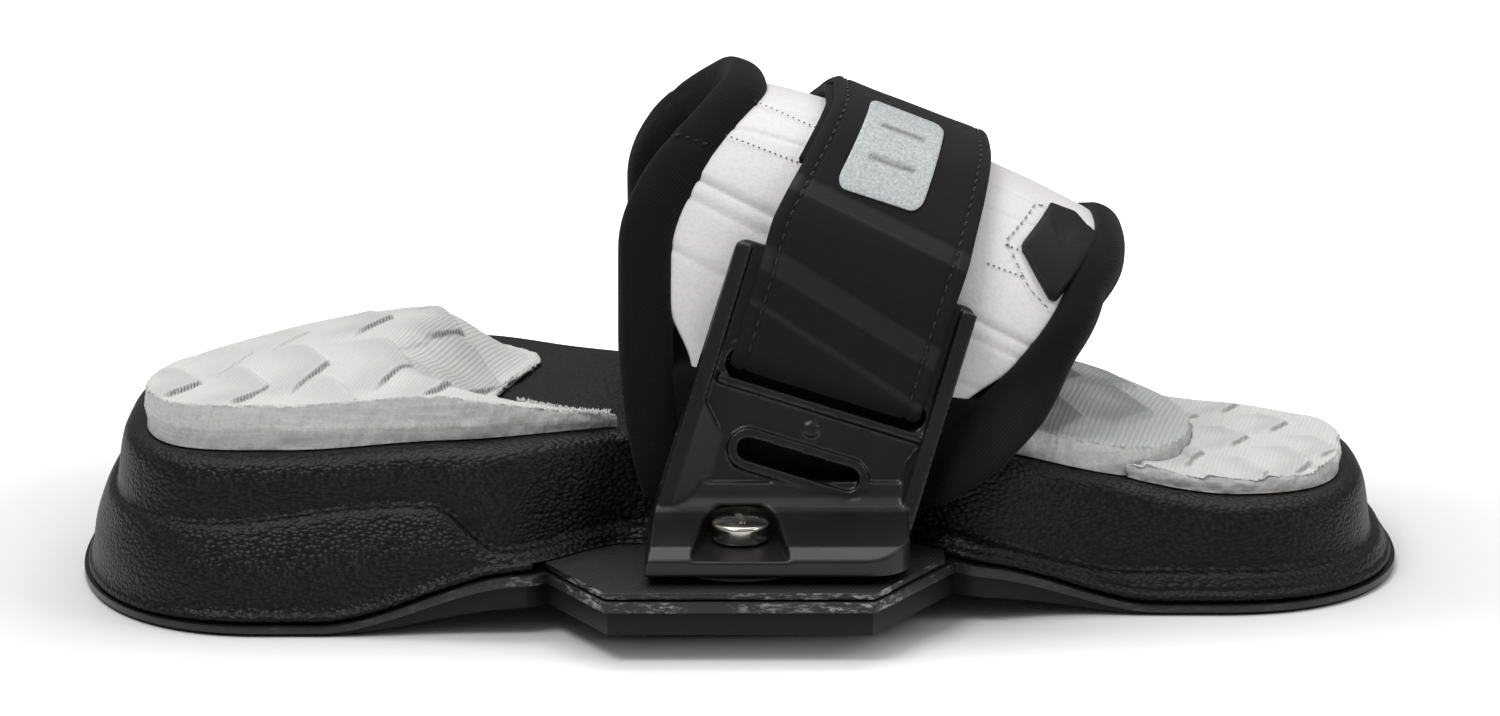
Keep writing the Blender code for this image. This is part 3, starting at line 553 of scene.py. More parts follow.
def circle(centre, radius, segments=64):
    return [(centre[0] + radius * math.cos(a), centre[1] + radius * math.sin(a))
            for a in (2.0 * math.pi * i / segments for i in range(segments))]


def drill(obj, side, radius=SCREW_HOLE_R, high=DRILL_TOP, segments=64):
    """Cut a round hole for one screw."""
    tool = prism("drill", circle((0.0, side * SCREW_Y), radius, segments), 0.0, high)
    return combine(obj, tool, 'DIFFERENCE')


def hull(name, points, matrix=Matrix.Identity(4)):
    """The convex solid round some points."""
    bm = bmesh.new()
    for p in points:
        bm.verts.new(matrix @ Vector(p))
    made = bmesh.ops.convex_hull(bm, input=bm.verts[:])
    spare = [v for v in made["geom_interior"] if isinstance(v, bmesh.types.BMVert)]
    bmesh.ops.delete(bm, geom=spare, context='VERTS')
    return add_object(name, bm, ())


def tube(name, rings, mats, angle=50.0, weld=False):
    """A closed solid from rings of points; its end rings are filled, or welded where they are already shut."""
    bm = bmesh.new()
    loops = [[bm.verts.new(p) for p in ring] for ring in rings]
    for a, b in zip(loops, loops[1:]):
        for i in range(len(a)):
            j = (i + 1) % len(a)
            bm.faces.new((a[i], a[j], b[j], b[i]))
    if weld:
        bmesh.ops.remove_doubles(bm, verts=bm.verts[:], dist=1e-4)
    else:
        for loop in (loops[0], loops[-1]):
            bm.faces.new(loop)
    return add_object(name, bm, mats, angle)


def lathe(name, centre, profile, mats):
    """A solid of revolution about a vertical line."""
    return tube(name, [[(*p, z) for p in circle(centre, r)] for r, z in profile], mats, 40.0)


def rounded(points, radius, steps=8):
    """Round every corner of a closed outline; radius is one number or one for each corner."""
    result = []
    count = len(points)
    for i, corner in enumerate(points):
        r = radius[i] if isinstance(radius, (list, tuple)) else radius
        here = Vector(corner)
        if r <= 0.0:
            result.append(tuple(here))
            continue
        back = (Vector(points[i - 1]) - here).normalized()
        ahead = (Vector(points[(i + 1) % count]) - here).normalized()
        half = back.angle(ahead) / 2.0
        start = here + back * (r / math.tan(half))
        end = here + ahead * (r / math.tan(half))
        centre = here + (back + ahead).normalized() * (r / math.sin(half))
        sweep = (start - centre).angle_signed(end - centre)
        for k in range(steps + 1):
            turn = Matrix.Rotation(-sweep * k / steps, 2)
            result.append(tuple(centre + turn @ (start - centre)))
    return result


def cut_corners(points, times=2):
    """Smooth an open line of points by cutting its corners; its ends stay."""
    for _ in range(times):
        made = [points[0]]
        for a, b in zip(points, points[1:]):
            a = Vector(a)
            b = Vector(b)
            made += [tuple(a.lerp(b, 0.25)), tuple(a.lerp(b, 0.75))]
        points = made[:1] + made[2:-1] + [points[-1]]
    return points


def set_values(obj, name, values, kind="FLOAT"):
    """Store one number or vector for each point of the mesh."""
    layer = obj.data.attributes.new(name, kind, "POINT")
    key = "value" if kind == "FLOAT" else "vector"
    layer.data.foreach_set(key, np.asarray(values, np.float32).ravel())


def points_of(obj):
    """The mesh's points in millimetres."""
    co = np.empty(len(obj.data.vertices) * 3)
    obj.data.vertices.foreach_get("co", co)
    return co.reshape(-1, 3) / MM


def move_points(obj, co):
    """Put the mesh's points at new places, in millimetres."""
    obj.data.vertices.foreach_set("co", (co * MM).ravel())
    obj.data.update()


# ---------------------------------------------------------------- footpad shape

def half_width_at(x, inset):
    full = HEEL_HALF_WIDTH - (HEEL_HALF_WIDTH - TOE_HALF_WIDTH) * smooth(15.0, 80.0, x)
    narrowing = 1.0 - smooth(28.0 - 0.85 * inset, 48.0 + inset, abs(x - WAIST_MIDDLE))
    return full - WAIST_DEPTH * narrowing - inset


def pad_point(station, side, inset):
    """A point of the pad's outline; station runs from heel tip to toe tip."""
    heel_start = -PAD_HALF_LENGTH + HEEL_CAP
    toe_start = PAD_HALF_LENGTH - TOE_CAP
    if CAP_STEPS <= station <= CAP_STEPS + SIDE_STEPS:
        x = heel_start + (toe_start - heel_start) * (station - CAP_STEPS) / SIDE_STEPS
        return (x, side * half_width_at(x, inset))
    if station < CAP_STEPS:
        end, start, cap, turn = -1.0, heel_start, HEEL_CAP, station / CAP_STEPS
        squareness = 2.25 + (0.07 if side < 0.0 else 0.0) * inset
    else:
        end, start, cap, turn = 1.0, toe_start, TOE_CAP, (STATIONS - station) / CAP_STEPS
        squareness = 2.25 + 0.045 * inset
    out = abs(math.cos(0.5 * math.pi * turn)) ** (2.0 / squareness)
    across = math.sin(0.5 * math.pi * turn) ** (2.0 / squareness)
    return (start + end * (cap - 0.85 * inset) * out, side * across * half_width_at(start, inset))


def fine_stations():
    """Stations close together all round the pad, closer in its round ends."""
    steps = [CAP_STEPS * k / 40.0 for k in range(40)]
    steps += [CAP_STEPS + SIDE_STEPS * k / 110.0 for k in range(110)]
    return steps + [CAP_STEPS + SIDE_STEPS + CAP_STEPS * k / 40.0 for k in range(41)]


def pad_side(side, inset):
    return [pad_point(k, side, inset) for k in fine_stations()]


def wing_reach(x, grow):
    slope = (WING_REACH - WING_ROOT_Y) / (WING_ROOT_HALF_LENGTH - WING_HALF_LENGTH)
    return WING_REACH + grow - max(0.0, abs(x) - WING_HALF_LENGTH - grow * 0.5) * slope


def side_with_wing(side, sign, grow):
    """One side of the pad's outline with the wing's edge where the wing stands out."""
    corner = WING_HALF_LENGTH + grow * 0.5
    path = []
    inside = False
    for p, q in zip(side, side[1:] + side[-1:]):
        depth_p = sign * p[1] - wing_reach(p[0], grow)
        depth_q = sign * q[1] - wing_reach(q[0], grow)
        if depth_p > 0.0:
            path.append(p)
        if depth_p * depth_q < 0.0:
            share = depth_p / (depth_p - depth_q)
            crossing = (p[0] + (q[0] - p[0]) * share, p[1] + (q[1] - p[1]) * share)
            if inside:
                path.append(crossing)
            else:
                path += [crossing, (-corner, sign * (WING_REACH + grow)), (corner, sign * (WING_REACH + grow))]
            inside = not inside
    return path


def sole_outline(grow):
    near = side_with_wing(pad_side(-1.0, -grow), -1.0, grow)
    far = side_with_wing(pad_side(1.0, -grow), 1.0, grow)
    return near + far[::-1][1:-1]


def camber(x):
    return 1.0 - smooth(CAMBER_START, CAMBER_END, abs(x))


# Bottom of the black layer that stands in for shade; the pad's middle is lifted off the floor.
def shade_layer_low(x, y=0.0):
    return LIFT * camber(x)


def sheet_low(x, y=0.0):
    return shade_layer_low(x) + SHADE_LAYER_END + (SHADE_LAYER_MIDDLE - SHADE_LAYER_END) * camber(x)


def sheet_high(x, y=0.0):
    return sheet_low(x) + SHEET_THICK_END + (SHEET_THICK_MIDDLE - SHEET_THICK_END) * camber(x)


def deck_height(x, y=0.0):
    heel = 34.9 + 2.1 * smooth(-95.0, -60.0, x)
    front = heel - 4.0 * smooth(-26.0, 50.0, x)
    tilt = 0.027 * (y + 40.0) * (1.0 - smooth(36.0, 76.0, abs(x)))
    return front - 11.0 * smooth(44.0, 106.0, x) - tilt


def ledge_height(x):
    arch = 22.0 + 4.0 * smooth(-112.0, -68.0, x) - 8.5 * smooth(-64.0, -50.0, x) + 1.3 * smooth(-48.0, -20.0, x)
    return arch - 10.3 * smooth(38.0, 84.0, x)


def relief_solid(name, outline, low, high, cuts, mats, side_cuts=0, angle=40.0):
    """A closed solid over an outline, cut along x and y, whose faces follow low(x, y) and high(x, y)."""
    bm = bmesh.new()
    bm.faces.new([bm.verts.new((x, y, 0.0)) for x, y in outline])
    for axis, places in enumerate(cuts):
        normal = Vector((0.0, 0.0, 0.0))
        normal[axis] = 1.0
        for place in places:
            geom = bm.verts[:] + bm.edges[:] + bm.faces[:]
            bmesh.ops.bisect_plane(bm, geom=geom, plane_co=normal * place, plane_no=normal, dist=1e-4)
    bmesh.ops.triangulate(bm, faces=[f for f in bm.faces if len(f.verts) > 4])
    grown = bmesh.ops.extrude_face_region(bm, geom=bm.faces[:])
    top = {v for v in grown["geom"] if isinstance(v, bmesh.types.BMVert)}
    for v in bm.verts:
        v.co.z = high(v.co.x, v.co.y) if v in top else low(v.co.x, v.co.y)
    if side_cuts:
        upright = [e for e in bm.edges if (e.verts[0] in top) != (e.verts[1] in top)]
        bmesh.ops.subdivide_edges(bm, edges=upright, cuts=side_cuts, use_grid_fill=True)
    obj = add_object(name, bm, mats, angle)
    if len(mats) > 1:
        for face in obj.data.polygons:
            face.material_index = 0 if face.normal.z > 0.5 else 1
    return obj


# ---------------------------------------------------------------- sole and pad

def make_sole():
    bends = [CAMBER_START + (CAMBER_END - CAMBER_START) * k / 14.0 for k in range(15)]
    cuts = ([end * x for end in (-1, 1) for x in bends], [])
    # The black layer under the sheet, thickest under the wings, is a dark sheet put in place of the shade under
    # the raised middle.
    sole = relief_solid("sole_shade_layer_skin", sole_outline(-1.2), shade_layer_low, lambda x, y: sheet_low(x) - GAP, cuts,
                        [SHADE_LAYER])
    sheet = relief_solid("base_sheet_skin", sole_outline(0.0), sheet_low, sheet_high, cuts, [SHEET, EDGE_WEAR_AND_GLINT])
    tip, root = WING_REACH - 1.0, WING_ROOT_Y - 1.5
    wing = [(-WING_HALF_LENGTH, -tip), (WING_HALF_LENGTH, -tip), (WING_ROOT_HALF_LENGTH, -root),
            (WING_ROOT_HALF_LENGTH, root), (WING_HALF_LENGTH, tip), (-WING_HALF_LENGTH, tip),
            (-WING_ROOT_HALF_LENGTH, root), (-WING_ROOT_HALF_LENGTH, -root)]
    plate = prism("base_plate_skin", rounded(wing, 2.0), PLATE_TOP - PLATE_THICK, PLATE_TOP, [PLATE, EDGE_WEAR_AND_GLINT])
    for obj in (sole, sheet, plate):
        for side in (-1.0, 1.0):
            drill(obj, side, segments=32)
    soften(sole, 0.5, 3)
    soften(sheet, 0.35)
    soften(plate, 0.45, 3)
    for obj in (sheet, plate):
        for face in obj.data.polygons:
            face.material_index = 0 if abs(face.normal.z) > 0.9 else 1
    finish_piece(sole, "root", "sole_rubber", "sole_mat")
    finish_piece(sheet, "root", "base_plastic", "base_sheet")
    finish_piece(plate, "root", "plate_plastic", "base_plate")


def pad_profile(x, side, y):
    """Inset and height up one side of the pad: lip, lower tier, ledge, upper wall, shoulder and deck."""
    low = sheet_high(x) + GAP
    ledge = ledge_height(x)
    deck = deck_height(x, y - side * 14.0)
    at_ledge = PAD_FOOT + WALL_LEAN * (ledge - low)
    at_shoulder = at_ledge + LEDGE_STEP + WALL_LEAN * (deck - SHOULDER - ledge)
    drop = min(3.9, 0.42 * (ledge - low))
    line = [(PAD_FOOT, low), (PAD_FOOT - 0.9, low + 0.3), (PAD_FOOT - 0.9, low + 1.5),
            (PAD_FOOT + 0.5, low + 2.2), (PAD_FOOT + 0.30 * (at_ledge - PAD_FOOT), low + 0.5 * (ledge - low)),
            (at_ledge - 0.25 * drop, ledge - drop), (at_ledge + 0.2, ledge - 0.42 * drop),
            (at_ledge + 1.4, ledge - 0.5), (at_ledge + LEDGE_STEP + 0.7, ledge - 0.2),
            (at_ledge + LEDGE_STEP + 1.0, ledge + 1.4), (at_shoulder, deck - SHOULDER),
            (at_shoulder + 1.2, deck - 1.2), (at_shoulder + 4.4, deck)]
    return cut_corners(line, 2)


def between(a, b, count):
    """The points that cut the line from a to b into equal parts."""
    return [tuple(Vector(a).lerp(Vector(b), k / count)) for k in range(1, count)]


def make_pad():
    rings = []
    for station in fine_stations():
        sides = []
        for side in (-1.0, 1.0):
            x, y = pad_point(station, side, PAD_FOOT)
            sides.append([(*pad_point(station, side, inset), z) for inset, z in pad_profile(x, side, y)])
        near, far = sides
        rings.append(near + between(near[-1], far[-1], 24) + far[::-1] + between(far[0], near[0], 6))
    pad = tube("pad_body_skin", rings, [FOAM], weld=True)
    half = WING_ROOT_HALF_LENGTH + GAP + 0.2
    recess = [(-half, -80.0), (half, -80.0), (half, 80.0), (-half, 80.0)]
    combine(pad, prism("recess", recess, 0.0, PLATE_TOP + GAP), 'DIFFERENCE')
    for side in (-1.0, 1.0):
        drill(pad, side, DISC_R + 0.5, DISC_HIGH + GAP)
    pad.data.shade_smooth()
    pad.data.set_sharp_from_angle(angle=math.radians(50.0))
    finish_piece(pad, "root", "pad_foam", "pad_body")


# ---------------------------------------------------------------- cushions

HEEL_INSET = 18.5
TOE_INSET = 15.5
HEEL_TAIL_X = -26.0
HEEL_FRONT = ((-52.5, -25.0), (-53.0, -10.0), (-50.0, 4.0), (-46.5, 17.0), (-44.5, 27.0), (-46.5, 33.0),
              (-52.0, 38.0), (-60.0, 41.5), (-70.0, 43.7))
HEEL_CENTRE = (-79.0, -20.0)
HEEL_FAR_REACH = 64.0
HEEL_FAR_POWER = 1.9
TOE_FAR_CENTRE = (92.0, -4.0)
TOE_FAR_REACH = (39.0, 38.0)
TOE_FAR_POWER = 2.2
BALL_CENTRE = (63.0, -1.0)
BALL_HALF = (35.0, 37.0)
BALL_ROOM = (35.6, 37.6)
BALL_TURN = math.radians(-6.0)
BALL_POWER = 2.3

SCALLOP_START = 85.0
FRAY_START = (-47.0, -36.6)
FRAY_LENGTH = 19.5

# Scales embossed in the cushions: tip x, tip y and depth. Each points to the toes.
HEEL_SCALES = ((-115.0, -24.0, 1.0), (-100.0, -31.0, 1.0), (-88.0, -21.0, 1.0), (-77.0, 14.0, 1.0),
               (-80.0, -45.0, 0.8), (-70.0, -24.0, 1.0), (-61.5, 15.0, 1.0), (-61.0, -35.0, 1.0),
               (-52.0, -4.0, 1.0), (-95.0, 10.0, 0.4), (-106.0, -4.0, 0.4), (-68.0, -2.0, 0.2),
               (-66.0, 36.0, 0.6))
TOE_SCALES = ((112.0, 29.0, 1.0), (101.5, 14.0, 0.8), (120.5, 7.0, 1.0), (110.5, -6.0, 1.0), (99.5, -20.0, 1.0),
              (88.5, -27.5, 0.7), (122.0, -24.0, 1.0), (112.0, -31.5, 0.8), (129.0, -14.0, 0.8))
BALL_SCALES = ((62.0, -14.0, 1.0), (76.0, 4.0, 1.0), (90.0, -6.0, 0.7), (74.0, -26.0, 0.8), (60.0, 20.0, 0.9),
               (88.0, 18.0, 0.7), (46.0, 2.0, 0.8), (48.0, -26.0, 0.8))


def turned(points, centre, turn):
    """Points round the origin, turned and moved to a centre."""
    c = math.cos(turn)
    s = math.sin(turn)
    return [(centre[0] + x * c - y * s, centre[1] + x * s + y * c) for x, y in points]


def ball_outline(half, steps):
    """A squarish oval, turned a little."""
    points = [[h * math.copysign(abs(v) ** (2.0 / BALL_POWER), v) for h, v in zip(half, way)]
              for way in circle((0.0, 0.0), 1.0, steps)]
    return turned(points, BALL_CENTRE, BALL_TURN)


def quarter(centre, reach, power):
    """A quarter of a rounded outline, on the far side of centre."""
    bend = 2.0 / power
    return [(centre[0] + reach[0] * math.cos(a) ** bend, centre[1] + reach[1] * math.sin(a) ** bend)
            for a in (0.5 * math.pi * k / 40 for k in range(1, 41))]


def heel_outline():
    near = [p for p in pad_side(-1.0, HEEL_INSET) if p[0] < HEEL_TAIL_X and p[1] < HEEL_CENTRE[1]]
    tail = (near[-1][0] - 1.5, near[-1][1] + 2.5)
    front = [near[-1], tail, (-37.0, -37.0), (-46.0, -36.5), *HEEL_FRONT]
    far = quarter(HEEL_CENTRE, (near[0][0] - HEEL_CENTRE[0], HEEL_FAR_REACH), HEEL_FAR_POWER)
    return near[:-1] + cut_corners(front, 2) + far[::-1]


def cushion_low(x, y):
    return deck_height(x, y) + GAP


def front_taper(x, y):
    """The heel cushion thins out to its front edge, except along its tail."""
    xs, ys = zip((-46.0, -36.0), *HEEL_FRONT)
    edge = float(np.interp(y, ys, xs))
    return 1.0 - 0.86 * (1.0 - smooth(0.0, 24.0, edge - x)) * smooth(-38.0, -30.0, y)


def heel_top(x, y):
    rim = (7.3 - 2.4 * y / 45.0) * (1.0 - 0.56 * smooth(-66.0, -30.0, x))
    rim -= 1.6 * smooth(0.0, 30.0, y) * smooth(80.0, 112.0, -x)
    half = 44.0 if x < -76.0 else 47.0
    radial = ((x + 76.0) / half) ** 2 + ((y - 8.0) / 50.0) ** 2
    return cushion_low(x, y) + (rim + 6.4 * max(0.0, 1.0 - radial)) * front_taper(x, y)


def ball_top(x, y):
    radial = ((x - 66.0) / 40.0) ** 2 + ((y + 1.0) / 42.0) ** 2
    return cushion_low(x, y) + 5.5 + 4.5 * max(0.0, 1.0 - radial)


def toe_top(x, y):
    crown = 1.2 * smooth(0.0, 14.0, 28.0 - abs(y + 4.0))
    return cushion_low(x, y) + 4.0 - 0.8 * smooth(-30.0, 30.0, y) + crown


def toe_outline():
    near = [p for p in pad_side(-1.0, TOE_INSET) if p[0] > 83.0 and p[1] < TOE_FAR_CENTRE[1]]
    far = quarter(TOE_FAR_CENTRE, TOE_FAR_REACH, TOE_FAR_POWER)
    hollow = [p for p in ball_outline(BALL_ROOM, 120) if p[0] > 81.5]
    hollow.sort(key=lambda p: -p[1])
    return near + far + hollow


def edge_distance(points, outline):
    """How far each point lies from the outline."""
    best = np.full(len(points), 1e9)
    ring = np.array(outline)
    for a, b in zip(ring, np.roll(ring, -1, axis=0)):
        run = b - a
        length = float(run @ run)
        if length < 1e-9:
            continue
        t = np.clip(((points - a) @ run) / length, 0.0, 1.0)
        best = np.minimum(best, np.linalg.norm(points - (a + t[:, None] * run), axis=1))
    return best


def scales(points, tips, arm, depth, reach, crease_darkness):
    """Overlapping scales: how high they stand, how deep in a groove a point is, kept as painted crease shade
    that is darker on each scale's near arm, and how shaded its facet is.
    """
    height = np.zeros(len(points))
    groove = np.zeros(len(points))
    shade = np.zeros(len(points))
    length = math.hypot(*arm)
    for tip_x, tip_y, weight in tips:
        rel = points - np.array((tip_x, tip_y))
        behind = []
        for way in (-1.0, 1.0):
            along = (rel @ np.array((-arm[0], way * arm[1]))) / length
            back = -(rel @ np.array((arm[1], way * arm[0]))) / length
            behind.append(back)
            span = ramp(-0.5, 1.0, along) * (1.0 - ramp(0.62 * length, length, along))
            line = np.exp(-((back + 0.15) / 0.36) ** 2) * span
            # Crease shade is painted stronger on each scale's near arm than on its far arm.
            groove = np.maximum(groove, line * min(weight, crease_darkness) * (1.0 if way < 0.0 else 0.22))
        inner = np.minimum(behind[0], behind[1])
        spread = 1.0 - ramp(0.75, 1.15, np.abs(rel[:, 1]) / arm[1])
        body = ramp(-0.35, 0.15, inner) * np.clip(1.0 - inner / reach, 0.0, 1.0) * spread
        height = np.maximum(height, depth * weight * body)
        facet = ramp(-0.2, 1.5, inner) * (1.0 - ramp(1.5, reach * 0.8, inner)) * spread
        shade = np.maximum(shade, weight * facet)
    return height, groove, shade


def make_cushion(name, cover, outline, high, step, tips, arm, depth, reach, ragged, crease_darkness=1.0, scallop=0.0):
    """A cushion over an outline, with scales pressed in its cover and ragged or scalloped foam sides.

    step is the spacing of its points; arm, depth and reach shape its scales; the number after ragged sets how
    dark the painted shade in their creases is; ragged is how far its torn sides wander; scallop is the length
    of one bow along its near edge.
    """
    cuts = [np.arange(min(v) + step / 2.0, max(v), step) for v in zip(*outline)]
    obj = relief_solid(name, outline, cushion_low, high, cuts, [cover, FOAM_SIDE], side_cuts=3, angle=60.0)
    fine = obj.modifiers.new("fine", 'SUBSURF')
    fine.subdivision_type = 'SIMPLE'
    fine.levels = 1
    settle(obj)
    co = points_of(obj)
    normal = np.empty(len(co) * 3)
    obj.data.vertices.foreach_get("normal", normal)
    normal = normal.reshape(-1, 3)
    bottom = np.array([cushion_low(x, y) for x, y, _ in co])
    top = np.array([high(x, y) for x, y, _ in co])
    rise = (co[:, 2] - bottom) / (top - bottom)
    away = edge_distance(co[:, :2], outline)
    height, groove, shade = scales(co[:, :2], tips, arm, depth, reach, crease_darkness)
    is_top = rise > 0.985
    calm = ramp(0.3, 3.0, away)
    round_off = 0.5 * (1.0 - np.sqrt(np.clip(1.0 - (1.0 - np.clip(away / 1.1, 0.0, 1.0)) ** 2, 0.0, 1.0)))
    co[:, 2] += np.where(is_top, height * calm - 0.4 * depth * calm - round_off, 0.0)
    if scallop:
        near = (1.0 - ramp(2.0, 9.0, away)) * ramp(8.0, 16.0, -co[:, 1])
        saw = np.mod((co[:, 0] - SCALLOP_START + 0.25 * (co[:, 1] + 30.0)) / scallop, 1.0)
        co[:, 2] -= 1.1 * near * saw * (1.0 - ramp(0.9, 1.0, saw)) * ramp(0.3, 1.0, rise)
    side = (away < 0.01) & (rise > 0.02)
    for i in np.nonzero(side)[0]:
        v = Vector(co[i]) * 0.16
        flat = Vector((normal[i][0], normal[i][1], 0.0))
        if flat.length > 0.0:
            flat.normalize()
        swell = 0.5 * math.sin(math.pi * min(1.0, rise[i]))
        push = ragged * (noise.noise(v * 2.3) + 0.6 * noise.noise(v * 9.0)) + swell - 0.25
        if scallop and flat.y < -0.4:
            bow = abs(math.sin(math.pi * (co[i, 0] - SCALLOP_START) / scallop)) ** 0.7
            push -= (1.0 - bow) * rise[i]
        co[i, :2] += np.array((flat.x, flat.y)) * push
        co[i, 2] += ragged * 0.7 * noise.noise(v * 3.1 + Vector((7.0, 0.0, 0.0))) * smooth(0.6, 1.0, rise[i])
    move_points(obj, co)
    set_values(obj, "groove", np.where(is_top, groove * ramp(0.0, 1.5, away), 0.0))
    set_values(obj, "shade", np.where(is_top, shade, 0.0))
    return obj


def make_fray():
    """Short torn fibres along the inner edge of the heel cushion's tail."""
    places = []
    count = 150
    for k in range(count):
        x = FRAY_START[0] + FRAY_LENGTH * k / (count - 1)
        y = FRAY_START[1] - 0.014 * (x - FRAY_START[0]) ** 1.5 + 0.9 * noise.noise(Vector((k * 0.7, 0.0, 0.0)))
        z = heel_top(x, y - 1.5) - 0.2 - 0.9 * abs(noise.noise(Vector((k * 1.3, 5.0, 0.0))))
        sway = 1.6 * noise.noise(Vector((k * 0.9, 2.0, 0.0)))
        lift = 0.35 + noise.noise(Vector((k * 0.8, 9.0, 0.0)))
        places.append(((x, y, z), (sway, 0.9, lift), (0.0, 0.0, 1.0)))
    fray = beads("heel_cushion_fray", places, [FOAM_SIDE], (2.1, 0.28, 0.24), (5, 4))
    finish_piece(fray, "root", "cushion_white")


def make_cushions():
    heel = make_cushion("heel_cushion_soft", CUSHION_WHITE, heel_outline(), heel_top, 1.1, HEEL_SCALES,
                        arm=(7.5, 17.0), depth=1.1, reach=15.0, ragged=0.5)
    ball = make_cushion("ball_cushion_soft", CUSHION_GREY, ball_outline(BALL_HALF, 160), ball_top, 1.2,
                        BALL_SCALES, arm=(9.0, 17.0), depth=1.3, reach=15.0, ragged=0.4, crease_darkness=0.3)
    toe = make_cushion("toe_cushion_soft", CUSHION_WHITE, toe_outline(), toe_top, 0.9, TOE_SCALES,
                       arm=(5.5, 9.6), depth=0.8, reach=9.0, ragged=0.5, crease_darkness=0.8, scallop=13.0)
    make_fray()
    finish_piece(heel, "root", "cushion_white", "heel_cushion")
    finish_piece(ball, "root", "cushion_grey", "ball_cushion")
    finish_piece(toe, "root", "cushion_white", "toe_cushion")


# ---------------------------------------------------------------- brackets and screws

def plate_frame(side):
    """Matrix from plate coordinates (along the foot, up the plate, out of it) to the object's axes."""
    up = Vector((0.0, -side * math.sin(PLATE_LEAN), math.cos(PLATE_LEAN)))
    out = Vector((0.0, side * math.cos(PLATE_LEAN), math.sin(PLATE_LEAN)))
    matrix = Matrix(((1.0, 0.0, 0.0), up, out)).transposed().to_4x4()
    matrix.translation = Vector((0.0, side * PLATE_FOOT_Y, FLANGE_LOW - 0.6))
    return matrix


def plate_point(p, q):
    return (PLATE_TOP_LEFT[0] + p * math.cos(PLATE_TURN) + q * math.sin(PLATE_TURN),
            PLATE_TOP_LEFT[1] - p * math.sin(PLATE_TURN) + q * math.cos(PLATE_TURN))


def on_plate(p, q, height):
    return (*plate_point(p, q), height)


def slot_outline(slot, grow=0.0):
    start, end, q, height = slot
    r = height / 2.0 + grow
    points = []
    for centre, first in ((start + height / 2.0, 90.0), (end - height / 2.0, -90.0)):
        for k in range(17):
            a = math.radians(first + 180.0 * k / 16.0)
            points.append(plate_point(centre + r * math.cos(a), q + r * math.sin(a)))
    return points


def plate_outline():
    corners = [plate_point(0.0, 0.0), (plate_point(0.0, -68.2)[0], PLATE_FOOT_HEIGHT),
               (plate_point(PLATE_WIDTH, -52.0)[0], PLATE_FOOT_HEIGHT), plate_point(PLATE_WIDTH, 0.0)]
    return rounded(corners, [2.5, 0.0, 0.0, 3.0])


def rail(p_low, p_high, q_low, q_high):
    return [plate_point(p_low, q_high), plate_point(p_low, q_low), plate_point(p_high, q_low),
            plate_point(p_high, q_high)]


# A section drawn in y and z, and raised along x.
SECTION_TO_ROW = Matrix(((0.0, 0.0, 1.0), (1.0, 0.0, 0.0), (0.0, 1.0, 0.0))).to_4x4()


def make_flange(side):
    """The bracket's foot, with a pocket round the screw and its heel end slanted like the plate."""
    top = FLANGE_LOW + FLANGE_FACE
    section = [(53.6, FLANGE_LOW), (FLANGE_FRONT_Y, FLANGE_LOW), (FLANGE_FRONT_Y, top)]
    section += [(y, top + rise) for y, rise in FLANGE_SWEEP]
    left, right = FLANGE_ENDS
    flange = prism("flange", [(side * y, z) for y, z in section], left, right, matrix=SECTION_TO_ROW)
    front = FLANGE_FRONT_Y + 0.01
    shape = rounded([(left, 45.0), (left, front), (right, front), (right, 45.0)], [0.0, 3.0, 9.0, 0.0])
    combine(flange, prism("trim", [(x, side * y) for x, y in shape], 5.0, 40.0), 'INTERSECT')
    pocket = []
    for r, z in ((7.5, POCKET_FLOOR), (8.0, POCKET_FLOOR + 5.6)):
        pocket += [(r * math.cos(a), side * (SCREW_Y - r * math.sin(a)), z)
                   for a in (math.pi * k / 24.0 for k in range(25))]
        pocket += [(-r - POCKET_SPREAD, side * 90.0, z), (r + POCKET_SPREAD, side * 90.0, z)]
    combine(flange, hull("pocket", pocket), 'DIFFERENCE')
    high = FLANGE_SLANT_Z + 30.0
    slant = [(x, side * y, z) for y in (40.0, 95.0) for x, z in
             ((left, 10.0), (left, FLANGE_SLANT_Z), (left + 0.306 * 30.0, high))]
    slant += [(-60.0, side * y, z) for y in (40.0, 95.0) for z in (10.0, high)]
    combine(flange, hull("slant", slant), 'DIFFERENCE')
    return drill(flange, side)


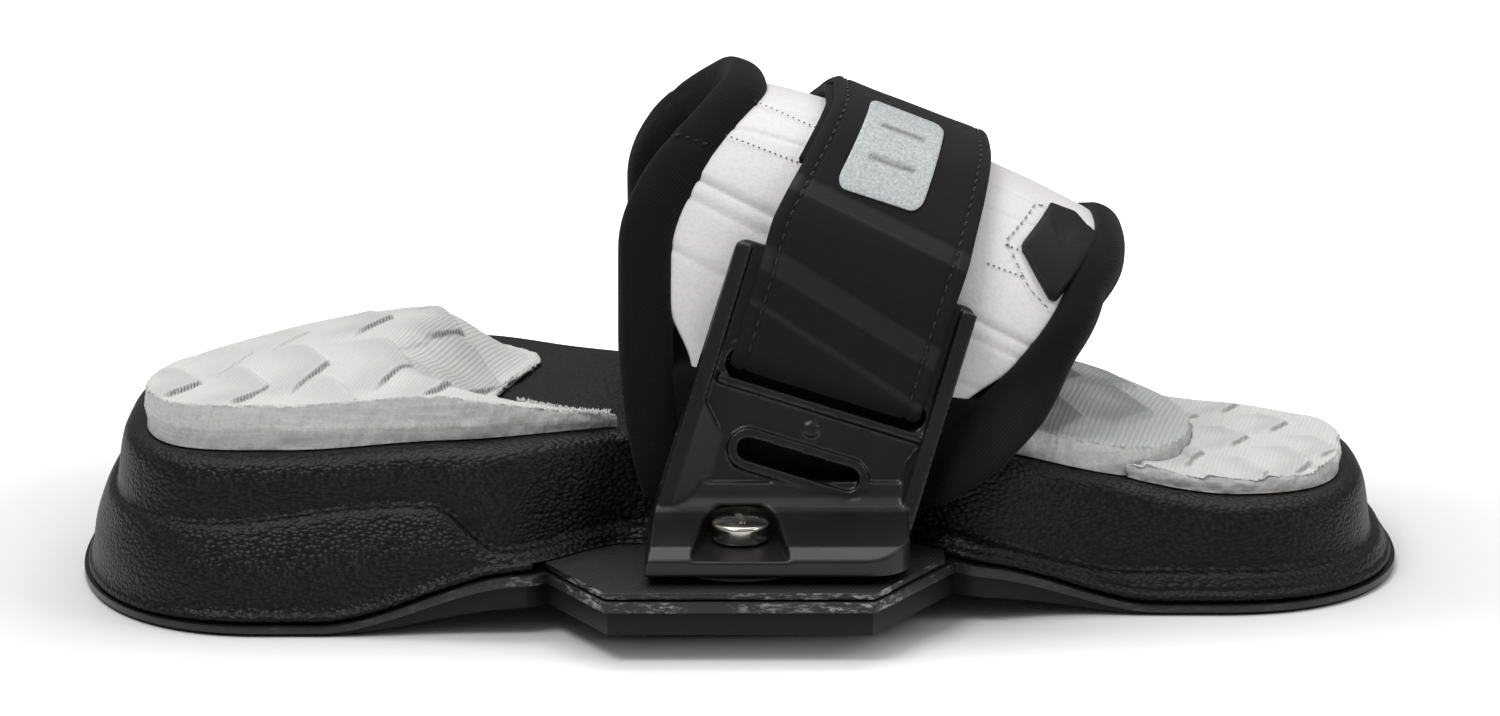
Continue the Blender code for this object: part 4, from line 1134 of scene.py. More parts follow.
def make_bracket(name, side, body, node):
    """Moulded bracket: plate, rails with sloping inner faces, slot rims and flange, melted into one skin."""
    matrix = plate_frame(side)
    plate = prism(name, plate_outline(), -PLATE_WALL, 0.0, matrix=matrix)
    boss = [plate_point(p, q) for p, q in circle((26.3, -33.9), 1.5, 20)]
    raised = (("rail", rail(0.15, RAIL_WIDTH, -65.5, -1.0), RAIL_RISE),
              ("rail", rail(PLATE_WIDTH - RAIL_WIDTH, PLATE_WIDTH - 0.15, -50.3, -1.2), RAIL_RISE),
              ("rim", slot_outline(SMALL_SLOT, 2.0), 1.2), ("lip", slot_outline(BELT_SLOT, 1.7), 0.3),
              ("boss", boss, 0.55))
    adds = [prism(part, outline, -0.5, height, matrix=matrix) for part, outline, height in raised]
    for part in [plate] + adds[2:]:
        for slot in (BELT_SLOT, SMALL_SLOT):
            combine(part, prism("slot", slot_outline(slot), -9.0, 9.0, matrix=matrix), 'DIFFERENCE')
    low_lip = rounded(rail(4.4, 49.0, BELT_SLOT[2] - 4.9, BELT_SLOT[2] - 3.1), 0.8)
    adds.append(prism("low_lip", low_lip, -0.5, 0.9, matrix=matrix))
    slopes = ((3.0, 9.6, -34.0, -64.0, -61.0), (49.4, 46.6, -29.5, -49.8, -50.0))
    for p_rail, p_plate, q_top, q_rail, q_plate in slopes:
        points = [on_plate(p_rail, q_top, RAIL_RISE), on_plate(p_rail, q_rail, RAIL_RISE),
                  on_plate(p_plate, q_top - 7.0, -0.2), on_plate(p_plate, q_plate, -0.2),
                  on_plate(p_rail, q_top, -0.6), on_plate(p_rail, q_rail, -0.6)]
        adds.append(hull("slope", points, matrix))
    clear = prism("clear", slot_outline(SMALL_SLOT, 2.2), 0.1, 12.0, matrix=matrix)
    adds.append(combine(make_flange(side), clear, 'DIFFERENCE'))
    melt(plate, adds)
    plate.data.materials.clear()
    plate.data.materials.append(NYLON)
    plate.data.shade_smooth()
    finish_piece(plate, body, "bracket_nylon", node)


def melt(obj, others):
    """Melt closed shells into one soft-edged skin."""
    bm = bmesh.new()
    for part in [obj] + others:
        bm.from_mesh(part.data)
    bm.to_mesh(obj.data)
    bm.free()
    for part in others:
        bpy.data.objects.remove(part)
    mould = obj.modifiers.new("mould", 'REMESH')
    mould.mode = 'VOXEL'
    mould.voxel_size = MELT_VOXEL * MM
    ease = obj.modifiers.new("ease", 'SMOOTH')
    ease.factor = 0.5
    ease.iterations = MELT_EASE
    thin = obj.modifiers.new("thin", 'DECIMATE')
    thin.ratio = MELT_KEEP
    settle(obj)


def make_screw(name, side, body, node):
    """Pan-head screw with a cross recess."""
    seat = POCKET_FLOOR + GAP
    profile = [(0.6, LIFT + 0.8), (SCREW_SHANK_R - 0.7, LIFT + 0.8), (SCREW_SHANK_R, LIFT + 1.6)]
    for k in range(8):
        z = LIFT + 2.4 + k
        profile += [(SCREW_SHANK_R, z), (SCREW_SHANK_R - 0.35, z + 0.5)]
    profile += [(SCREW_SHANK_R, seat - 0.6), (SCREW_SHANK_R, seat), (SCREW_HEAD_R - 0.35, seat),
                (SCREW_HEAD_R - 0.08, seat + 0.15), (SCREW_HEAD_R, seat + 0.5), (SCREW_HEAD_R, seat + 2.5)]
    dome = [(SCREW_HEAD_R, seat + 2.5), (SCREW_HEAD_R, seat + 3.6), (SCREW_HEAD_R - 1.0, seat + 4.1),
            (SCREW_HEAD_R - 3.0, seat + 4.5), (0.4, seat + 4.6)]
    profile += cut_corners(dome, 3)[1:]
    screw = lathe(name, (0.0, side * SCREW_Y), profile, [STEEL])
    half, wide = CROSS_HALF
    cross = [(-half, -wide), (-wide, -wide), (-wide, -half), (wide, -half), (wide, -wide), (half, -wide),
             (half, wide), (wide, wide), (wide, half), (-wide, half), (-wide, wide), (-half, wide)]
    cross = turned(cross, (0.0, side * SCREW_Y), CROSS_TURN)
    combine(screw, prism("cross", cross, seat + 2.4, seat + 7.0), 'DIFFERENCE')
    soften(screw, 0.12, angle=50.0)
    finish_piece(screw, body, "screw_steel", node)


def make_fittings():
    profile = [(SCREW_HOLE_R, DISC_LOW), (DISC_R - 0.4, DISC_LOW), (DISC_R, DISC_LOW + 0.3),
               (DISC_R, DISC_HIGH - 0.4), (DISC_R - 0.3, DISC_HIGH), (SCREW_HOLE_R, DISC_HIGH)]
    for word, side in (("near", -1.0), ("far", 1.0)):
        disc = lathe(word + "_swivel_disc_skin", (0.0, side * SCREW_Y), profile, [DISC])
        drill(disc, side)
        finish_piece(disc, "root", "disc_plastic", word + "_swivel_disc")
        make_bracket(word + "_bracket_skin", side, word + "_side_bracket", word + "_bracket")
        make_screw(word + "_screw_skin", side, word + "_clamp_screw", word + "_screw")


# ---------------------------------------------------------------- strap

def crown_height(x):
    run = CROWN_TOE[0] - CROWN_HEEL[0]
    share = (x - CROWN_HEEL[0]) / run
    swell = math.sin(math.pi * min(1.0, max(0.0, share)))
    return CROWN_HEEL[1] + (CROWN_TOE[1] - CROWN_HEEL[1]) * share + CROWN_SWELL * swell


def arch_share(angle):
    return max(0.0, math.sin(angle)) ** (2.0 / ARCH_POWER)


def angle_of(share):
    return math.asin(share ** (ARCH_POWER / 2.0))


def arch_flare(x, z):
    start = LIFT + 16.0 + 9.0 * smooth(40.0, 55.0, x)
    end = LIFT + 34.0 + 12.0 * smooth(44.0, 60.0, x)
    return ARCH_FLARE * smooth(34.0, 55.0, x) * (1.0 - smooth(start, end, z))


def arch_point(x, angle, inset):
    """Point of the strap's arch at x; inset is counted inwards from its outer face."""
    share = arch_share(angle)
    z = ARCH_FOOT_Z + (crown_height(x) - inset - ARCH_FOOT_Z) * share
    half = ARCH_HALF_WIDTH + arch_flare(x, z) - inset
    c = math.cos(angle)
    return Vector((x, -half * math.copysign(abs(c) ** (2.0 / ARCH_POWER), c), z))


def arch_lengths():
    """Length along the arch, from its near foot, at a fine row of angles."""
    angles = [math.pi * k / 400.0 for k in range(401)]
    points = [arch_point(25.0, a, 0.0) for a in angles]
    lengths = [0.0]
    for a, b in zip(points, points[1:]):
        lengths.append(lengths[-1] + (b - a).length)
    return angles, lengths


ARCH_ANGLES, ARCH_LENGTHS = arch_lengths()


def length_at(angle):
    return float(np.interp(angle, ARCH_ANGLES, ARCH_LENGTHS))


def angle_at(length):
    return float(np.interp(length, ARCH_LENGTHS, ARCH_ANGLES))


def even_angles(first, last, spacing):
    """Angles that lie evenly along the arch."""
    start = length_at(first)
    end = length_at(last)
    count = max(2, int(round((end - start) / spacing)))
    return [angle_at(start + (end - start) * k / count) for k in range(count + 1)]


def ankle_edge(share):
    low = 5.8 * max(0.0, 1.0 - share / 0.4) ** 2
    high = 22.4 * max(0.0, (share - 0.6) / 0.4) ** 1.7
    return -24.8 + low + high


def toe_edge(share):
    return 41.0 + 41.0 * (1.0 - (1.0 - share) ** 1.95)


def ankle_seam(share):
    return ankle_edge(share) + EDGE_ANKLE - 2.6 * smooth(0.72, 1.0, share)


def toe_seam(share):
    return toe_edge(share) - EDGE_TOE + 4.0 * smooth(0.86, 1.0, share) - EDGE_TOE_LOW * (1.0 - share)


def thickness(angle):
    return STRAP_THICK * (0.44 + 0.56 * smooth(0.05, 0.5, arch_share(angle)))


def band(name, mats, across, outer, inner, angles, steps, power, values=None):
    """A soft band over the foot with rounded edges.

    across(share) gives its edges in x; outer(x, t, angle) and inner(x, t, angle) its insets,
    where t runs from one edge to the other. values names numbers that go with each outer point.
    """
    rows = []
    cloth = []
    extra = {key: [] for key in (values or {})}
    for a in angles:
        start, end = across(arch_share(a))
        run = length_at(a)
        top = []
        under = []
        for k in range(steps + 1):
            t = eased(k, steps)
            x = start + (end - start) * t
            full = fullness(t, power, power)
            high = outer(x, t, a)
            low = inner(x, t, a)
            middle = 0.5 * (high + low)
            top.append((arch_point(x, a, middle + (high - middle) * full), (x, run, 0.0), x, t))
            under.append((arch_point(x, a, middle + (low - middle) * full), (x, run + 300.0, 0.0), x, t))
        row = top + under[::-1][1:-1]
        rows.append([p[0] for p in row])
        for i, (_, uv, x, t) in enumerate(row):
            cloth.append(uv)
            for key, rule in (values or {}).items():
                extra[key].append(rule(x, t, a) if i < len(top) else 0.0)
    obj = tube(name, rows, mats)
    set_values(obj, "cloth", cloth, "FLOAT_VECTOR")
    for key, numbers in extra.items():
        set_values(obj, key, numbers)
    return obj


def bump_line(value, place, width):
    return math.exp(-((value - place) / width) ** 2)


def tuck_at(share):
    """How far the toe edge draws in between the flare and the crown."""
    return 3.4 * smooth(0.3, 0.6, share) - 4.6 * max(0.0, (share - 0.82) / 0.18)


ANKLE_JOIN_SHARE = 0.85
SWIVEL_ROOM = 0.038
GIVE_MOST = 3.0
# Lines embossed in the shell: share of the arch's height, depth and width.
SHELL_LINES = ((0.975, 0.35, 0.7), (0.915, 0.30, 0.6), (0.745, 0.80, 0.9), (0.690, 0.55, 0.8),
               (0.545, 0.50, 0.7))


def shell_fold(x, angle):
    """Grooves that run along the shell, following the crown."""
    here = length_at(angle)
    total = ARCH_LENGTHS[-1]
    depth = 0.0
    for share, strength, width in SHELL_LINES:
        at = length_at(angle_of(share)) - (0.0 if share > 0.85 else 0.28) * (x - 5.0)
        for place in (at, total - at):
            depth = max(depth, strength * bump_line(here, place, width))
    return depth


def give_way(obj):
    """Press a soft piece back behind the bracket plates, with room for them to swivel."""
    co = points_of(obj)
    for side in (-1.0, 1.0):
        matrix = np.array(plate_frame(side))
        local = (co - matrix[:3, 3]) @ matrix[:3, :3]
        rel_x = local[:, 0] - PLATE_TOP_LEFT[0]
        rel_y = local[:, 1] - PLATE_TOP_LEFT[1]
        p = rel_x * math.cos(PLATE_TURN) - rel_y * math.sin(PLATE_TURN)
        q = rel_x * math.sin(PLATE_TURN) + rel_y * math.cos(PLATE_TURN)
        covered = ramp(-3.5, -0.8, p) * (1.0 - ramp(PLATE_WIDTH + 0.8, PLATE_WIDTH + 3.5, p))
        covered *= (1.0 - ramp(1.0, 4.0, q)) * ramp(-2.0, 1.0, local[:, 1])
        limit = -PLATE_WALL - 0.45 - SWIVEL_ROOM * np.abs(local[:, 0])
        push = np.clip(local[:, 2] - limit, 0.0, GIVE_MOST) * covered
        co -= push[:, None] * matrix[:3, 2]
    move_points(obj, co)


def make_strap():
    foot = angle_of(0.02)
    rows = even_angles(foot, math.pi - foot, 1.6)
    shell_share = (SHELL_FOOT_Z - ARCH_FOOT_Z) / ARCH_RISE
    shell_foot = angle_of(shell_share)

    def padded_outer(x, t, a):
        wave = 0.35 * noise.noise(Vector((x * 0.12, length_at(a) * 0.09, 1.0)))
        at = length_at(angle_of(ANKLE_JOIN_SHARE))
        join = 0.9 * sum(bump_line(length_at(a), place, 0.7) for place in (at, ARCH_LENGTHS[-1] - at))
        return -1.5 - wave + join - 1.6 * smooth(0.88, 1.0, arch_share(a))

    def toe_outer(x, t, a):
        return -1.4 - 0.35 * noise.noise(Vector((x * 0.12, length_at(a) * 0.09, 4.0)))

    def padded_inner(x, t, a):
        return thickness(a) + 0.4

    ankle = band("ankle_edging_soft", [KNIT], lambda s: (ankle_edge(s) - 0.8, ankle_seam(s) + 0.6),
                 padded_outer, padded_inner, rows, 20, 2.6)
    toe = band("toe_edging_soft", [KNIT], lambda s: (toe_seam(s) - 0.6, toe_edge(s) - 0.2 - tuck_at(s)),
               toe_outer, padded_inner, rows, 20, 2.6)

    def lining_outer(x, t, a):
        here = length_at(a)
        edge = length_at(shell_foot)
        inside = smooth(edge - 1.0, edge + 2.5, min(here, ARCH_LENGTHS[-1] - here))
        soft = 0.3 * noise.noise(Vector((x * 0.1, here * 0.1, 9.0)))
        z = arch_point(x, a, 0.0).z
        behind = (1.0 - smooth(58.0, 61.0, z)) * smooth(-6.5, -4.0, x) * (1.0 - smooth(43.0, 46.0, x))
        return -0.4 + soft + (SHELL_THICK + GAP + 0.4) * inside * (1.0 - behind) - 0.9 * behind * inside

    lining = band("strap_lining_soft", [KNIT], lambda s: (ankle_seam(s) - 1.5, toe_seam(s) + 1.5),
                  lining_outer, lambda x, t, a: thickness(a), rows, 36, 8.0)

    def shell_outer(x, t, a):
        crown = 0.9 * math.sin(math.pi * t) ** 0.6
        soft = 0.5 * noise.noise(Vector((x * 0.05, length_at(a) * 0.045, 2.0)))
        return -crown - soft + shell_fold(x, a) + 0.55

    def shell_sides(s):
        tuck = 5.0 * (1.0 - smooth(shell_share, shell_share + 0.16, s))
        return (ankle_seam(s) - 0.8 + tuck, toe_seam(s) + 0.8 - 0.6 * tuck)

    # The shell's groove value, from its embossed lines, is painted as shade in the leather's colour.
    shell = band("strap_shell_soft", [LEATHER], shell_sides, shell_outer,
                 lambda x, t, a: SHELL_THICK, even_angles(shell_foot, math.pi - shell_foot, 0.55), 44, 6.0,
                 values={"groove": lambda x, t, a: min(1.0, 0.85 * shell_fold(x, a) ** 2)})
    for obj, slot, node in (
            (ankle, "strap_neoprene", "ankle_edging"), (toe, "strap_neoprene", "toe_edging"),
            (lining, "strap_neoprene", "strap_lining"), (shell, "strap_leather", "strap_shell")):
        give_way(obj)
        finish_piece(obj, "root", slot, node)
    return shell_outer


def beads(name, places, mats, size, steps=(8, 5)):
    """Small stretched beads, such as stitches: each place is a point, a direction and a normal."""
    bm = bmesh.new()
    for point, direction, normal in places:
        along = Vector(direction).normalized()
        up = (Vector(normal) - along * Vector(normal).dot(along)).normalized()
        side = along.cross(up)
        matrix = Matrix((along, side, up)).transposed().to_4x4()
        matrix.translation = Vector(point)
        matrix = matrix @ Matrix.Diagonal((size[0] / 2.0, size[1] / 2.0, size[2] / 2.0, 1.0))
        bmesh.ops.create_uvsphere(bm, u_segments=steps[0], v_segments=steps[1], radius=1.0, matrix=matrix)
    return add_object(name, bm, mats, 180.0)


def shell_place(x, share, lift, shell_outer):
    """A point on the shell with its direction along x, its direction up the arch and its normal."""
    a = angle_of(share)
    here = arch_point(x, a, shell_outer(x, 0.5, a) - lift)
    ahead = arch_point(x + 0.5, a, shell_outer(x + 0.5, 0.5, a) - lift)
    above = arch_point(x, a + 0.01, shell_outer(x, 0.5, a + 0.01) - lift)
    along = (ahead - here).normalized()
    up = (above - here).normalized()
    return here, along, up, along.cross(up)


# Side tab at the toe edge, in x and share of the arch's height.
SIDE_TAB = ((66.3, 0.984), (71.8, 0.988), (76.8, 0.955), (66.2, 0.715), (64.6, 0.715), (59.0, 0.842))
# Its rings from its edge to its middle: size and lift off the shell.
SIDE_TAB_RINGS = ((1.0, -0.6), (1.0, 0.55), (0.93, 1.0), (0.8, 1.05), (0.6, 1.05), (0.4, 1.05), (0.2, 1.05),
                  (0.05, 1.05))
TAB_STITCH_LINE = ((67.5, 0.985), (63.0, 0.972), (56.0, 0.845), (60.6, 0.725), (64.6, 0.68))
# Rows of perforations: share of the arch's height, first x and last x.
PERFORATION_ROWS = ((0.955, 2.0, 18.0), (0.865, -3.0, 15.0), (0.865, 56.0, 66.0), (0.79, 52.0, 60.0))


def make_shell_details(shell_outer):
    """Perforations, and the plain tab with its stitching."""
    dots = []
    for share, x, last in PERFORATION_ROWS:
        while x < last:
            here, along, _, normal = shell_place(x, share - 0.0009 * (x - 20.0), 0.0, shell_outer)
            dots.append((here, along, normal))
            x += 1.15
    obj = beads("shell_perforations", dots, [PERFORATION], (0.5, 0.5, 0.16))
    finish_piece(obj, "root", "strap_leather")
    outline = []
    for i, corner in enumerate(SIDE_TAB):
        here = Vector(corner)
        before = Vector(SIDE_TAB[i - 1])
        after = Vector(SIDE_TAB[(i + 1) % len(SIDE_TAB)])
        outline += [tuple(here.lerp(before, k)) for k in (0.45, 0.3, 0.15, 0.08)]
        outline.append(tuple(here.lerp(before, 0.03).lerp(here.lerp(after, 0.03), 0.5)))
        outline += [tuple(here.lerp(after, k)) for k in (0.08, 0.15, 0.3, 0.45)]
    mid_x, mid_share = (sum(v) / len(outline) for v in zip(*outline))
    rings = [[shell_place(mid_x + (x - mid_x) * size, mid_share + (s - mid_share) * size, lift, shell_outer)[0]
              for x, s in outline] for size, lift in SIDE_TAB_RINGS]
    tab = tube("near_side_tab_skin", rings, [TAB])
    finish_piece(tab, "root", "tab_rubber", "side_tab")
    stitches = []
    for (x0, s0), (x1, s1) in zip(TAB_STITCH_LINE, TAB_STITCH_LINE[1:]):
        run = shell_place(x1, s1, 0.05, shell_outer)[0] - shell_place(x0, s0, 0.05, shell_outer)[0]
        count = max(1, int(round(run.length / 2.3)))
        for k in range(count):
            t = (k + 0.5) / count
            here, _, _, normal = shell_place(x0 + (x1 - x0) * t, s0 + (s1 - s0) * t, 0.05, shell_outer)
            stitches.append((here, run, normal))
    thread = beads("near_tab_stitching", stitches, [WHITE_THREAD], (1.5, 0.45, 0.4))
    finish_piece(thread, "root", "strap_leather")


def make_seam_stitches():
    """Stitches along the join across the ankle edging, on both sides."""
    places = []
    a = angle_of(ANKLE_JOIN_SHARE)
    for mirror in (1.0, -1.0):
        x = ankle_edge(ANKLE_JOIN_SHARE) + 1.5
        while x < ankle_seam(ANKLE_JOIN_SHARE) - 0.5:
            p = arch_point(x, a, -1.0)
            n = arch_point(x, a, -2.0) - p
            places.append(((p.x, mirror * p.y, p.z), (1.0, 0.0, 0.15), (n.x, mirror * n.y, n.z)))
            x += 1.9
    obj = beads("ankle_join_stitching", places, [BLACK_THREAD], (1.3, 0.5, 0.5))
    finish_piece(obj, "root", "strap_neoprene")


# ---------------------------------------------------------------- belt

def belt_lift(share):
    return 3.8 + 2.2 * (1.0 - smooth(BELT_END_SHARE, 0.9, share))


def belt_edges(share):
    t = min(1.0, max(0.0, (share - BELT_END_SHARE + 0.1) / (1.085 - BELT_END_SHARE))) ** 1.2
    return (BELT_ON_BRACKET[0] + (BELT_ON_CROWN[0] - BELT_ON_BRACKET[0]) * t,
            BELT_ON_BRACKET[1] + (BELT_ON_CROWN[1] - BELT_ON_BRACKET[1]) * t)


def belt_rows(side):
    """The belt's middle surface from crown to slot: each row's two edges and its outward direction."""
    last = angle_of(BELT_END_SHARE + 0.03)
    raw = []
    for k in range(15):
        a = math.pi / 2.0 + (last - math.pi / 2.0) * k / 14.0
        share = arch_share(a)
        left, right = belt_edges(share)
        lift = -(belt_lift(share) + BELT_THICK / 2.0)
        raw.append([arch_point(left, a, lift), arch_point(right, a, lift)])
    for row in raw:
        for p in row:
            p.y *= -side
    matrix = plate_frame(side)
    start, end = BELT_WIDTH_IN_SLOT
    middle = GAP + BELT_THICK / 2.0
    for q, height in ((-3.0, middle), (-8.0, middle), (-14.0, middle), (-19.0, middle), (-22.4, middle - 0.2),
                      (-24.6, middle - 1.4), (-25.2, middle - 3.2), (-25.3, middle - 4.4)):
        raw.append([matrix @ Vector(on_plate(start, q, height)), matrix @ Vector(on_plate(end, q, height))])
    count = 150
    edges = []
    for index in (0, 1):
        line = cut_corners([tuple(row[index]) for row in raw], 2)
        steps = [0.0]
        for a, b in zip(line, line[1:]):
            steps.append(steps[-1] + (Vector(b) - Vector(a)).length)
        wanted = np.linspace(0.0, steps[-1], count)
        line = np.array(line)
        edges.append(np.stack([np.interp(wanted, steps, line[:, i]) for i in range(3)], axis=1))
    rows = []
    for k in range(count):
        low = max(0, k - 1)
        high = min(count - 1, k + 1)
        run = Vector(edges[0][high] + edges[1][high] - edges[0][low] - edges[1][low])
        out = Vector(edges[1][k] - edges[0][k]).cross(run) * side
        if k == 0:
            out.y = 0.0
        rows.append((Vector(edges[0][k]), Vector(edges[1][k]), out.normalized()))
    return rows


# Bands pressed in the belt: where each starts and ends at the heel edge, then at the toe edge.
BELT_BANDS = (((0.46, 0.51), (0.535, 0.585)), ((0.665, 0.725), (0.79, 0.845)), ((0.80, 0.815), (0.935, 0.95)))
BELT_SEAMS = (0.075, 0.925)
BELT_STITCH = (1.9, 0.55, 0.5)
BELT_STITCH_PITCH = 2.6


def belt_band(v, s):
    """1 inside one of the smooth bands pressed across the belt, with soft edges."""
    result = 0.0
    for (low_left, high_left), (low_right, high_right) in BELT_BANDS:
        low = low_left + (low_right - low_left) * v
        high = high_left + (high_right - high_left) * v
        result = max(result, window(s, low - 0.004, low + 0.004, high - 0.004, high + 0.004))
    return result


def belt_point(rows, v, s, lift):
    """A point of the belt: v runs across, s from the crown to the slot, lift off its middle surface."""
    at = s * (len(rows) - 1)
    i = min(len(rows) - 2, int(at))
    t = at - i
    left = rows[i][0].lerp(rows[i + 1][0], t)
    right = rows[i][1].lerp(rows[i + 1][1], t)
    out = rows[i][2].lerp(rows[i + 1][2], t).normalized()
    return left.lerp(right, v) + out * lift, out, (rows[i + 1][0] - rows[i][0]).normalized()


def make_belt_half(word, side):
    """Half of the belt, from the crown down into one bracket's slot."""
    rows = belt_rows(side)
    across = 56
    half = BELT_THICK / 2.0
    sections = []
    marks = []
    for k in range(len(rows)):
        s = k / (len(rows) - 1)
        top = []
        under = []
        for i in range(across + 1):
            v = eased(i, across)
            full = fullness(v, 14.0, 3.0)
            pressed = belt_band(v, s)
            seam = sum(bump_line(v, at, 0.014) for at in BELT_SEAMS)
            piping = 0.22 * (window(v, 0.0, 0.03, 0.05, 0.08) + window(v, 0.92, 0.95, 0.97, 1.0))
            relief = -0.24 * pressed - 0.42 * seam + piping
            wave = 0.12 * noise.noise(Vector((v * 5.0, s * 9.0, 3.0 + side)))
            top.append((belt_point(rows, v, s, (half + relief + wave) * full)[0], pressed))
            under.append((belt_point(rows, v, s, -half * full)[0], 0.0))
        section = top + under[::-1][1:-1]
        sections.append([p[0] for p in section])
        marks += [p[1] for p in section]
    belt = tube(word + "_belt_half", sections, [BELT], 60.0)
    set_values(belt, "band", marks)
    places = []
    length = sum((b[0] - a[0]).length for a, b in zip(rows, rows[1:]))
    count = int(length / BELT_STITCH_PITCH)
    for v in BELT_SEAMS:
        for k in range(count - 2):
            s = (k + 0.5) / count
            point, out, run = belt_point(rows, v, s, half - 0.2)
            places.append((point, run, out))
    thread = beads(word + "_belt_stitching", places, [BLACK_THREAD], BELT_STITCH)
    for obj in (belt, thread):
        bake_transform(obj)
    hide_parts(word + "_belt_leg", "crown_belt")
    return rows


def make_underlay():
    """Lower layer of the belt over the crown, a little wider, with square ends."""
    first = angle_of(0.86)
    rings = []
    for a in even_angles(first, math.pi - first, 1.2):
        left, right = belt_edges(arch_share(a))
        top = []
        under = []
        for k in range(25):
            x = left - 1.8 + (right - left - 0.2) * k / 24.0
            edge = 0.35 * (1.0 if k in (0, 24) else 0.0)
            top.append(arch_point(x, a, -3.5 + edge))
            under.append(arch_point(x, a, -1.4 - edge))
        rings.append(top + under[::-1])
    obj = tube("belt_underlay_skin", rings, [BELT])
    finish_piece(obj, "root", "belt_webbing", "belt_underlay")


# The patch's share of the belt, across and along.
PATCH_SPAN = (0.21, 0.68, 0.09, 0.47)


def make_patch(rows):
    """Plain pale patch with rounded corners on the belt's near side."""
    v_low, v_high, s_low, s_high = PATCH_SPAN
    outline = rounded([(0.0, 0.0), (1.0, 0.0), (1.0, 1.0), (0.0, 1.0)], 0.13, 6)
    fine = []
    for (x0, y0), (x1, y1) in zip(outline, outline[1:] + outline[:1]):
        count = max(1, round(math.hypot(x1 - x0, y1 - y0) / 0.07))
        fine += [(x0 + (x1 - x0) * k / count, y0 + (y1 - y0) * k / count) for k in range(count)]
    rings = []
    marks = []
    for size, lift in ((1.0, 0.15), (1.0, 0.45), (0.97, 0.6)) + tuple((0.9 - 0.06 * k, 0.6) for k in range(15)):
        ring = []
        for x, y in fine:
            a = 0.5 + (x - 0.5) * size
            b = 0.5 + (y - 0.5) * size
            groove = bump_line(abs(b - 0.5), 0.17, 0.022) if abs(a - 0.5) < 0.3 else 0.0
            ring.append(belt_point(rows, v_low + (v_high - v_low) * a, s_low + (s_high - s_low) * b,
                                   BELT_THICK / 2.0 + lift - 0.2 * groove)[0])
            marks.append(0.9 * groove)
        rings.append(ring)
    obj = tube("reflective_patch_skin", rings, [PATCH])
    set_values(obj, "groove", marks)
    finish_piece(obj, "root", "patch_pale", "reflective_patch")


# The free end of the belt: where it starts and ends up the plate, and the radius of its corners.
TAB_SPAN = (-20.5, 14.0)
TAB_CORNER = 9.0


def make_pull_tab():
    """Free end of the belt on the far side, and the hook patch that it closes on."""
    matrix = plate_frame(1.0)
    start, end = BELT_WIDTH_IN_SLOT
    low = GAP + BELT_THICK + 0.25
    hook = rounded(rail(start + 3.0, end - 3.0, -15.0, -3.0), 1.5)
    patch = prism("hook_patch_skin", hook, low, low + 0.9, [HOOK], matrix)
    soften(patch, 0.25)
    finish_piece(patch, "far_side_bracket", "hook_tape", "hook_patch")
    middle = low + 2.1
    foot_q, tip_q = TAB_SPAN
    rings = []
    marks = []
    for k in range(71):
        q = foot_q + (tip_q - foot_q) * k / 70.0
        round_off = max(0.0, (q - (tip_q - TAB_CORNER)) / TAB_CORNER)
        narrow = TAB_CORNER * (1.0 - math.sqrt(max(0.0, 1.0 - round_off ** 2)))
        top = []
        under = []
        across = 48
        for i in range(across + 1):
            v = eased(i, across)
            p = start + narrow + (end - start - 2.0 * narrow) * v
            full = fullness(v, 12.0, 3.0)
            seam = sum(bump_line(a, b, 0.5) for a, b in ((p, start + 3.0), (p, end - 3.0), (q, tip_q - 3.0)))
            band_here = window(q - 0.2 * p, -6.4, -6.0, -3.4, -3.0)
            top.append(matrix @ Vector(on_plate(p, q, middle + (0.9 - 0.25 * seam - 0.2 * band_here) * full)))
            under.append(matrix @ Vector(on_plate(p, q, middle - 0.9 * full)))
            marks.append(band_here)
        marks += [0.0] * (across + 1)
        rings.append(top + under[::-1])
    tab = tube("pull_tab_soft", rings, [BELT], 60.0)
    set_values(tab, "band", marks)
    finish_piece(tab, "belt_end", "belt_webbing", "pull_tab")
    places = []
    out = matrix.to_3x3() @ Vector((0.0, 0.0, 1.0))
    for p0, q0, p1, q1 in ((start + 3.0, foot_q + 1.0, start + 3.0, tip_q - 6.0),
                           (end - 3.0, foot_q + 1.0, end - 3.0, tip_q - 6.0),
                           (start + 6.5, tip_q - 3.0, end - 6.5, tip_q - 3.0)):
        a = matrix @ Vector(on_plate(p0, q0, middle + 0.72))
        b = matrix @ Vector(on_plate(p1, q1, middle + 0.72))
        count = int((b - a).length / BELT_STITCH_PITCH)
        places += [(a.lerp(b, (k + 0.5) / count), b - a, out) for k in range(count)]
    thread = beads("pull_tab_stitching", places, [BLACK_THREAD], BELT_STITCH)
    finish_piece(thread, "belt_end", "belt_webbing")


def make_belt():
    near = make_belt_half("near", -1.0)
    make_belt_half("far", 1.0)
    make_underlay()
    make_patch(near)
    make_pull_tab()


# ---------------------------------------------------------------- stage

WORLD_HORIZON = 0.10
WORLD_ZENITH = 0.56
# Each light's name, place, target, size and power.
LIGHTS = (("key", (-0.42, -0.45, 1.05), (0.0, 0.0, 0.05), (0.45, 0.4), 4.6),
          ("top", (0.0, 0.34, 1.1), (0.0, 0.0, 0.0), (1.1, 0.6), 5.2),
          ("right", (0.95, -0.35, 0.7), (0.0, 0.0, 0.05), (0.35, 0.4), 1.6))
CAMERA_PLACE = (0.002, -0.9703, 0.28521)
CAMERA_TILT = math.radians(76.0)
CAMERA_LENS = 109.92
# The patch of floor round the sole where the floor's glow fades, a painted shadow, in metres.
SHADE_HALF_LENGTH = 0.150
SHADE_HALF_WIDTH = 0.064


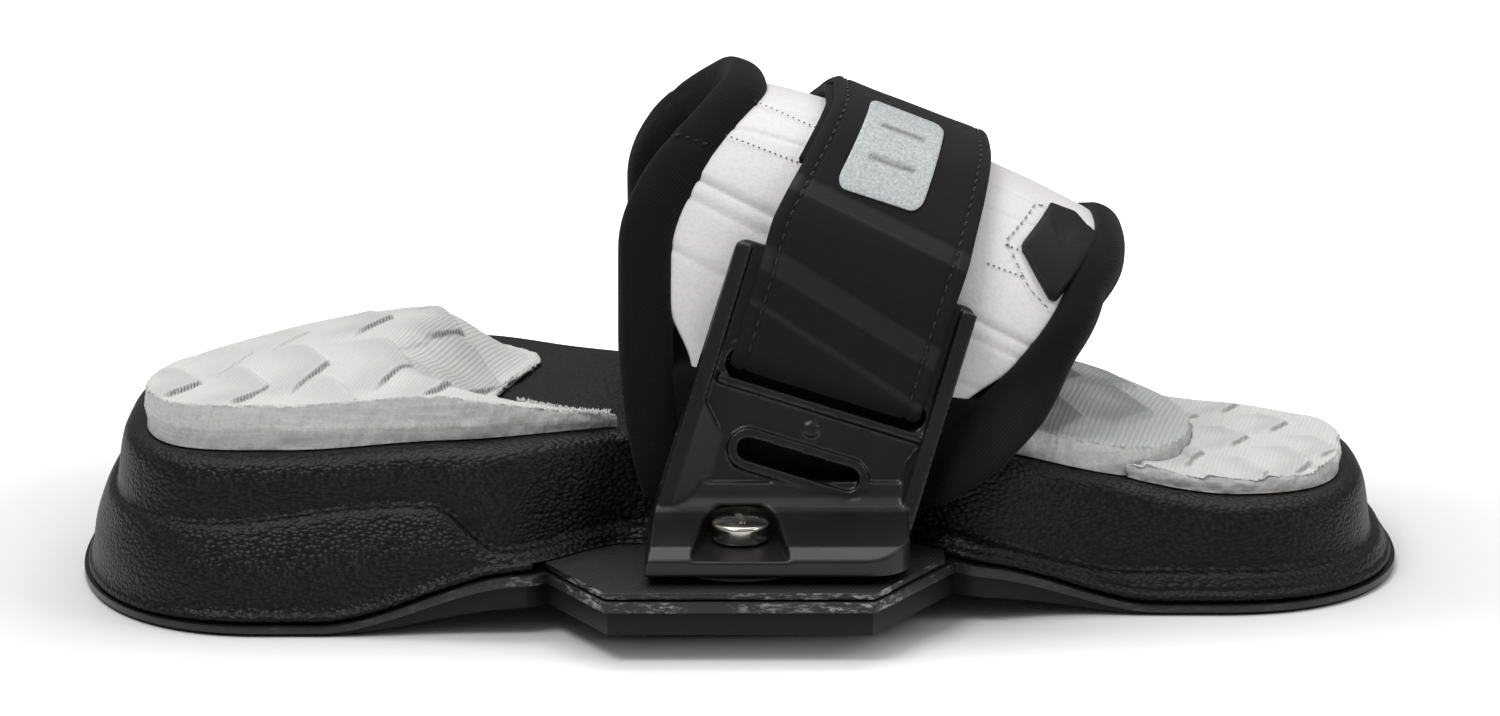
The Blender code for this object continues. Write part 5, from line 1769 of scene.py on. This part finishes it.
def area_light(name, location, target, size, power):
    data = bpy.data.lights.new(name, 'AREA')
    data.shape = 'RECTANGLE'
    data.size, data.size_y = size
    data.energy = power
    obj = bpy.data.objects.new(name, data)
    obj.location = location
    obj.rotation_euler = (Vector(target) - Vector(location)).to_track_quat('-Z', 'Y').to_euler()
    bpy.context.scene.collection.objects.link(obj)


def make_stage():
    """Pale floor with a painted shadow round the sole, a studio brighter overhead than at the horizon, soft
    lights and the camera.
    """
    bm = bmesh.new()
    bmesh.ops.create_grid(bm, x_segments=1, y_segments=1, size=6000.0)
    look = Look("floor_pale", (0.86, 0.86, 0.86), 0.95, Specular_IOR_Level=0.0)
    look.shader.inputs["Emission Color"].default_value = (1.0, 1.0, 1.0, 1.0)
    where = look.place((1.0 / SHADE_HALF_LENGTH, 1.0 / SHADE_HALF_WIDTH, 1.0))
    along, across, _ = look.node("SeparateXYZ", Vector=where).outputs
    across = look.times(across, look.plus(1.0, look.times(along, 0.13)))
    away = look.plus(look.maths('POWER', look.maths('ABSOLUTE', along), 4.0),
                      look.maths('POWER', look.maths('ABSOLUTE', across), 4.0))
    away = look.maths('POWER', away, 0.25)
    # The floor's glow fades towards the sole's footprint: a painted shadow.
    glow = look.plus(look.times(look.steps(away, 1.0, 1.7), 0.42),
                      look.times(look.steps(away, 1.2, 3.0), 0.58))
    seen = look.node("LightPath").outputs["Is Camera Ray"]
    strength = look.times(glow, look.plus(look.times(seen, 0.9), 0.1))
    look.tree.links.new(strength, look.shader.inputs["Emission Strength"])
    add_object("floor", bm, [look.material])
    world = bpy.data.worlds.new("studio")
    bpy.context.scene.world = world
    world.use_nodes = True
    sky = Nodes(world.node_tree)
    background = sky.tree.nodes["Background"]
    background.inputs["Color"].default_value = (1.0, 1.0, 1.0, 1.0)
    height = sky.node("SeparateXYZ", Vector=sky.node("TexCoord").outputs["Generated"]).outputs["Z"]
    level = sky.node("MapRange", {"interpolation_type": 'SMOOTHSTEP'}, Value=height, From_Min=0.05,
                     From_Max=0.95, To_Min=WORLD_HORIZON, To_Max=WORLD_ZENITH).outputs["Result"]
    seen = sky.node("LightPath").outputs["Is Camera Ray"]
    strength = sky.node("Mix", in0=seen, in2=level, in3=1.0).outputs[0]
    sky.tree.links.new(strength, background.inputs["Strength"])
    for light in LIGHTS:
        area_light(*light)
    scene = bpy.context.scene
    scene.view_settings.view_transform = 'Standard'
    data = bpy.data.cameras.new("camera")
    data.sensor_width = 36.0
    data.sensor_fit = 'HORIZONTAL'
    data.lens = CAMERA_LENS
    data.clip_start = 0.01
    camera = bpy.data.objects.new("camera", data)
    camera.location = CAMERA_PLACE
    camera.rotation_euler = (CAMERA_TILT, 0.0, 0.0)
    scene.collection.objects.link(camera)
    scene.camera = camera


make_stage()
make_sole()
make_pad()
make_cushions()
make_fittings()
SHELL_OUTER = make_strap()
make_shell_details(SHELL_OUTER)
make_seam_stitches()
make_belt()
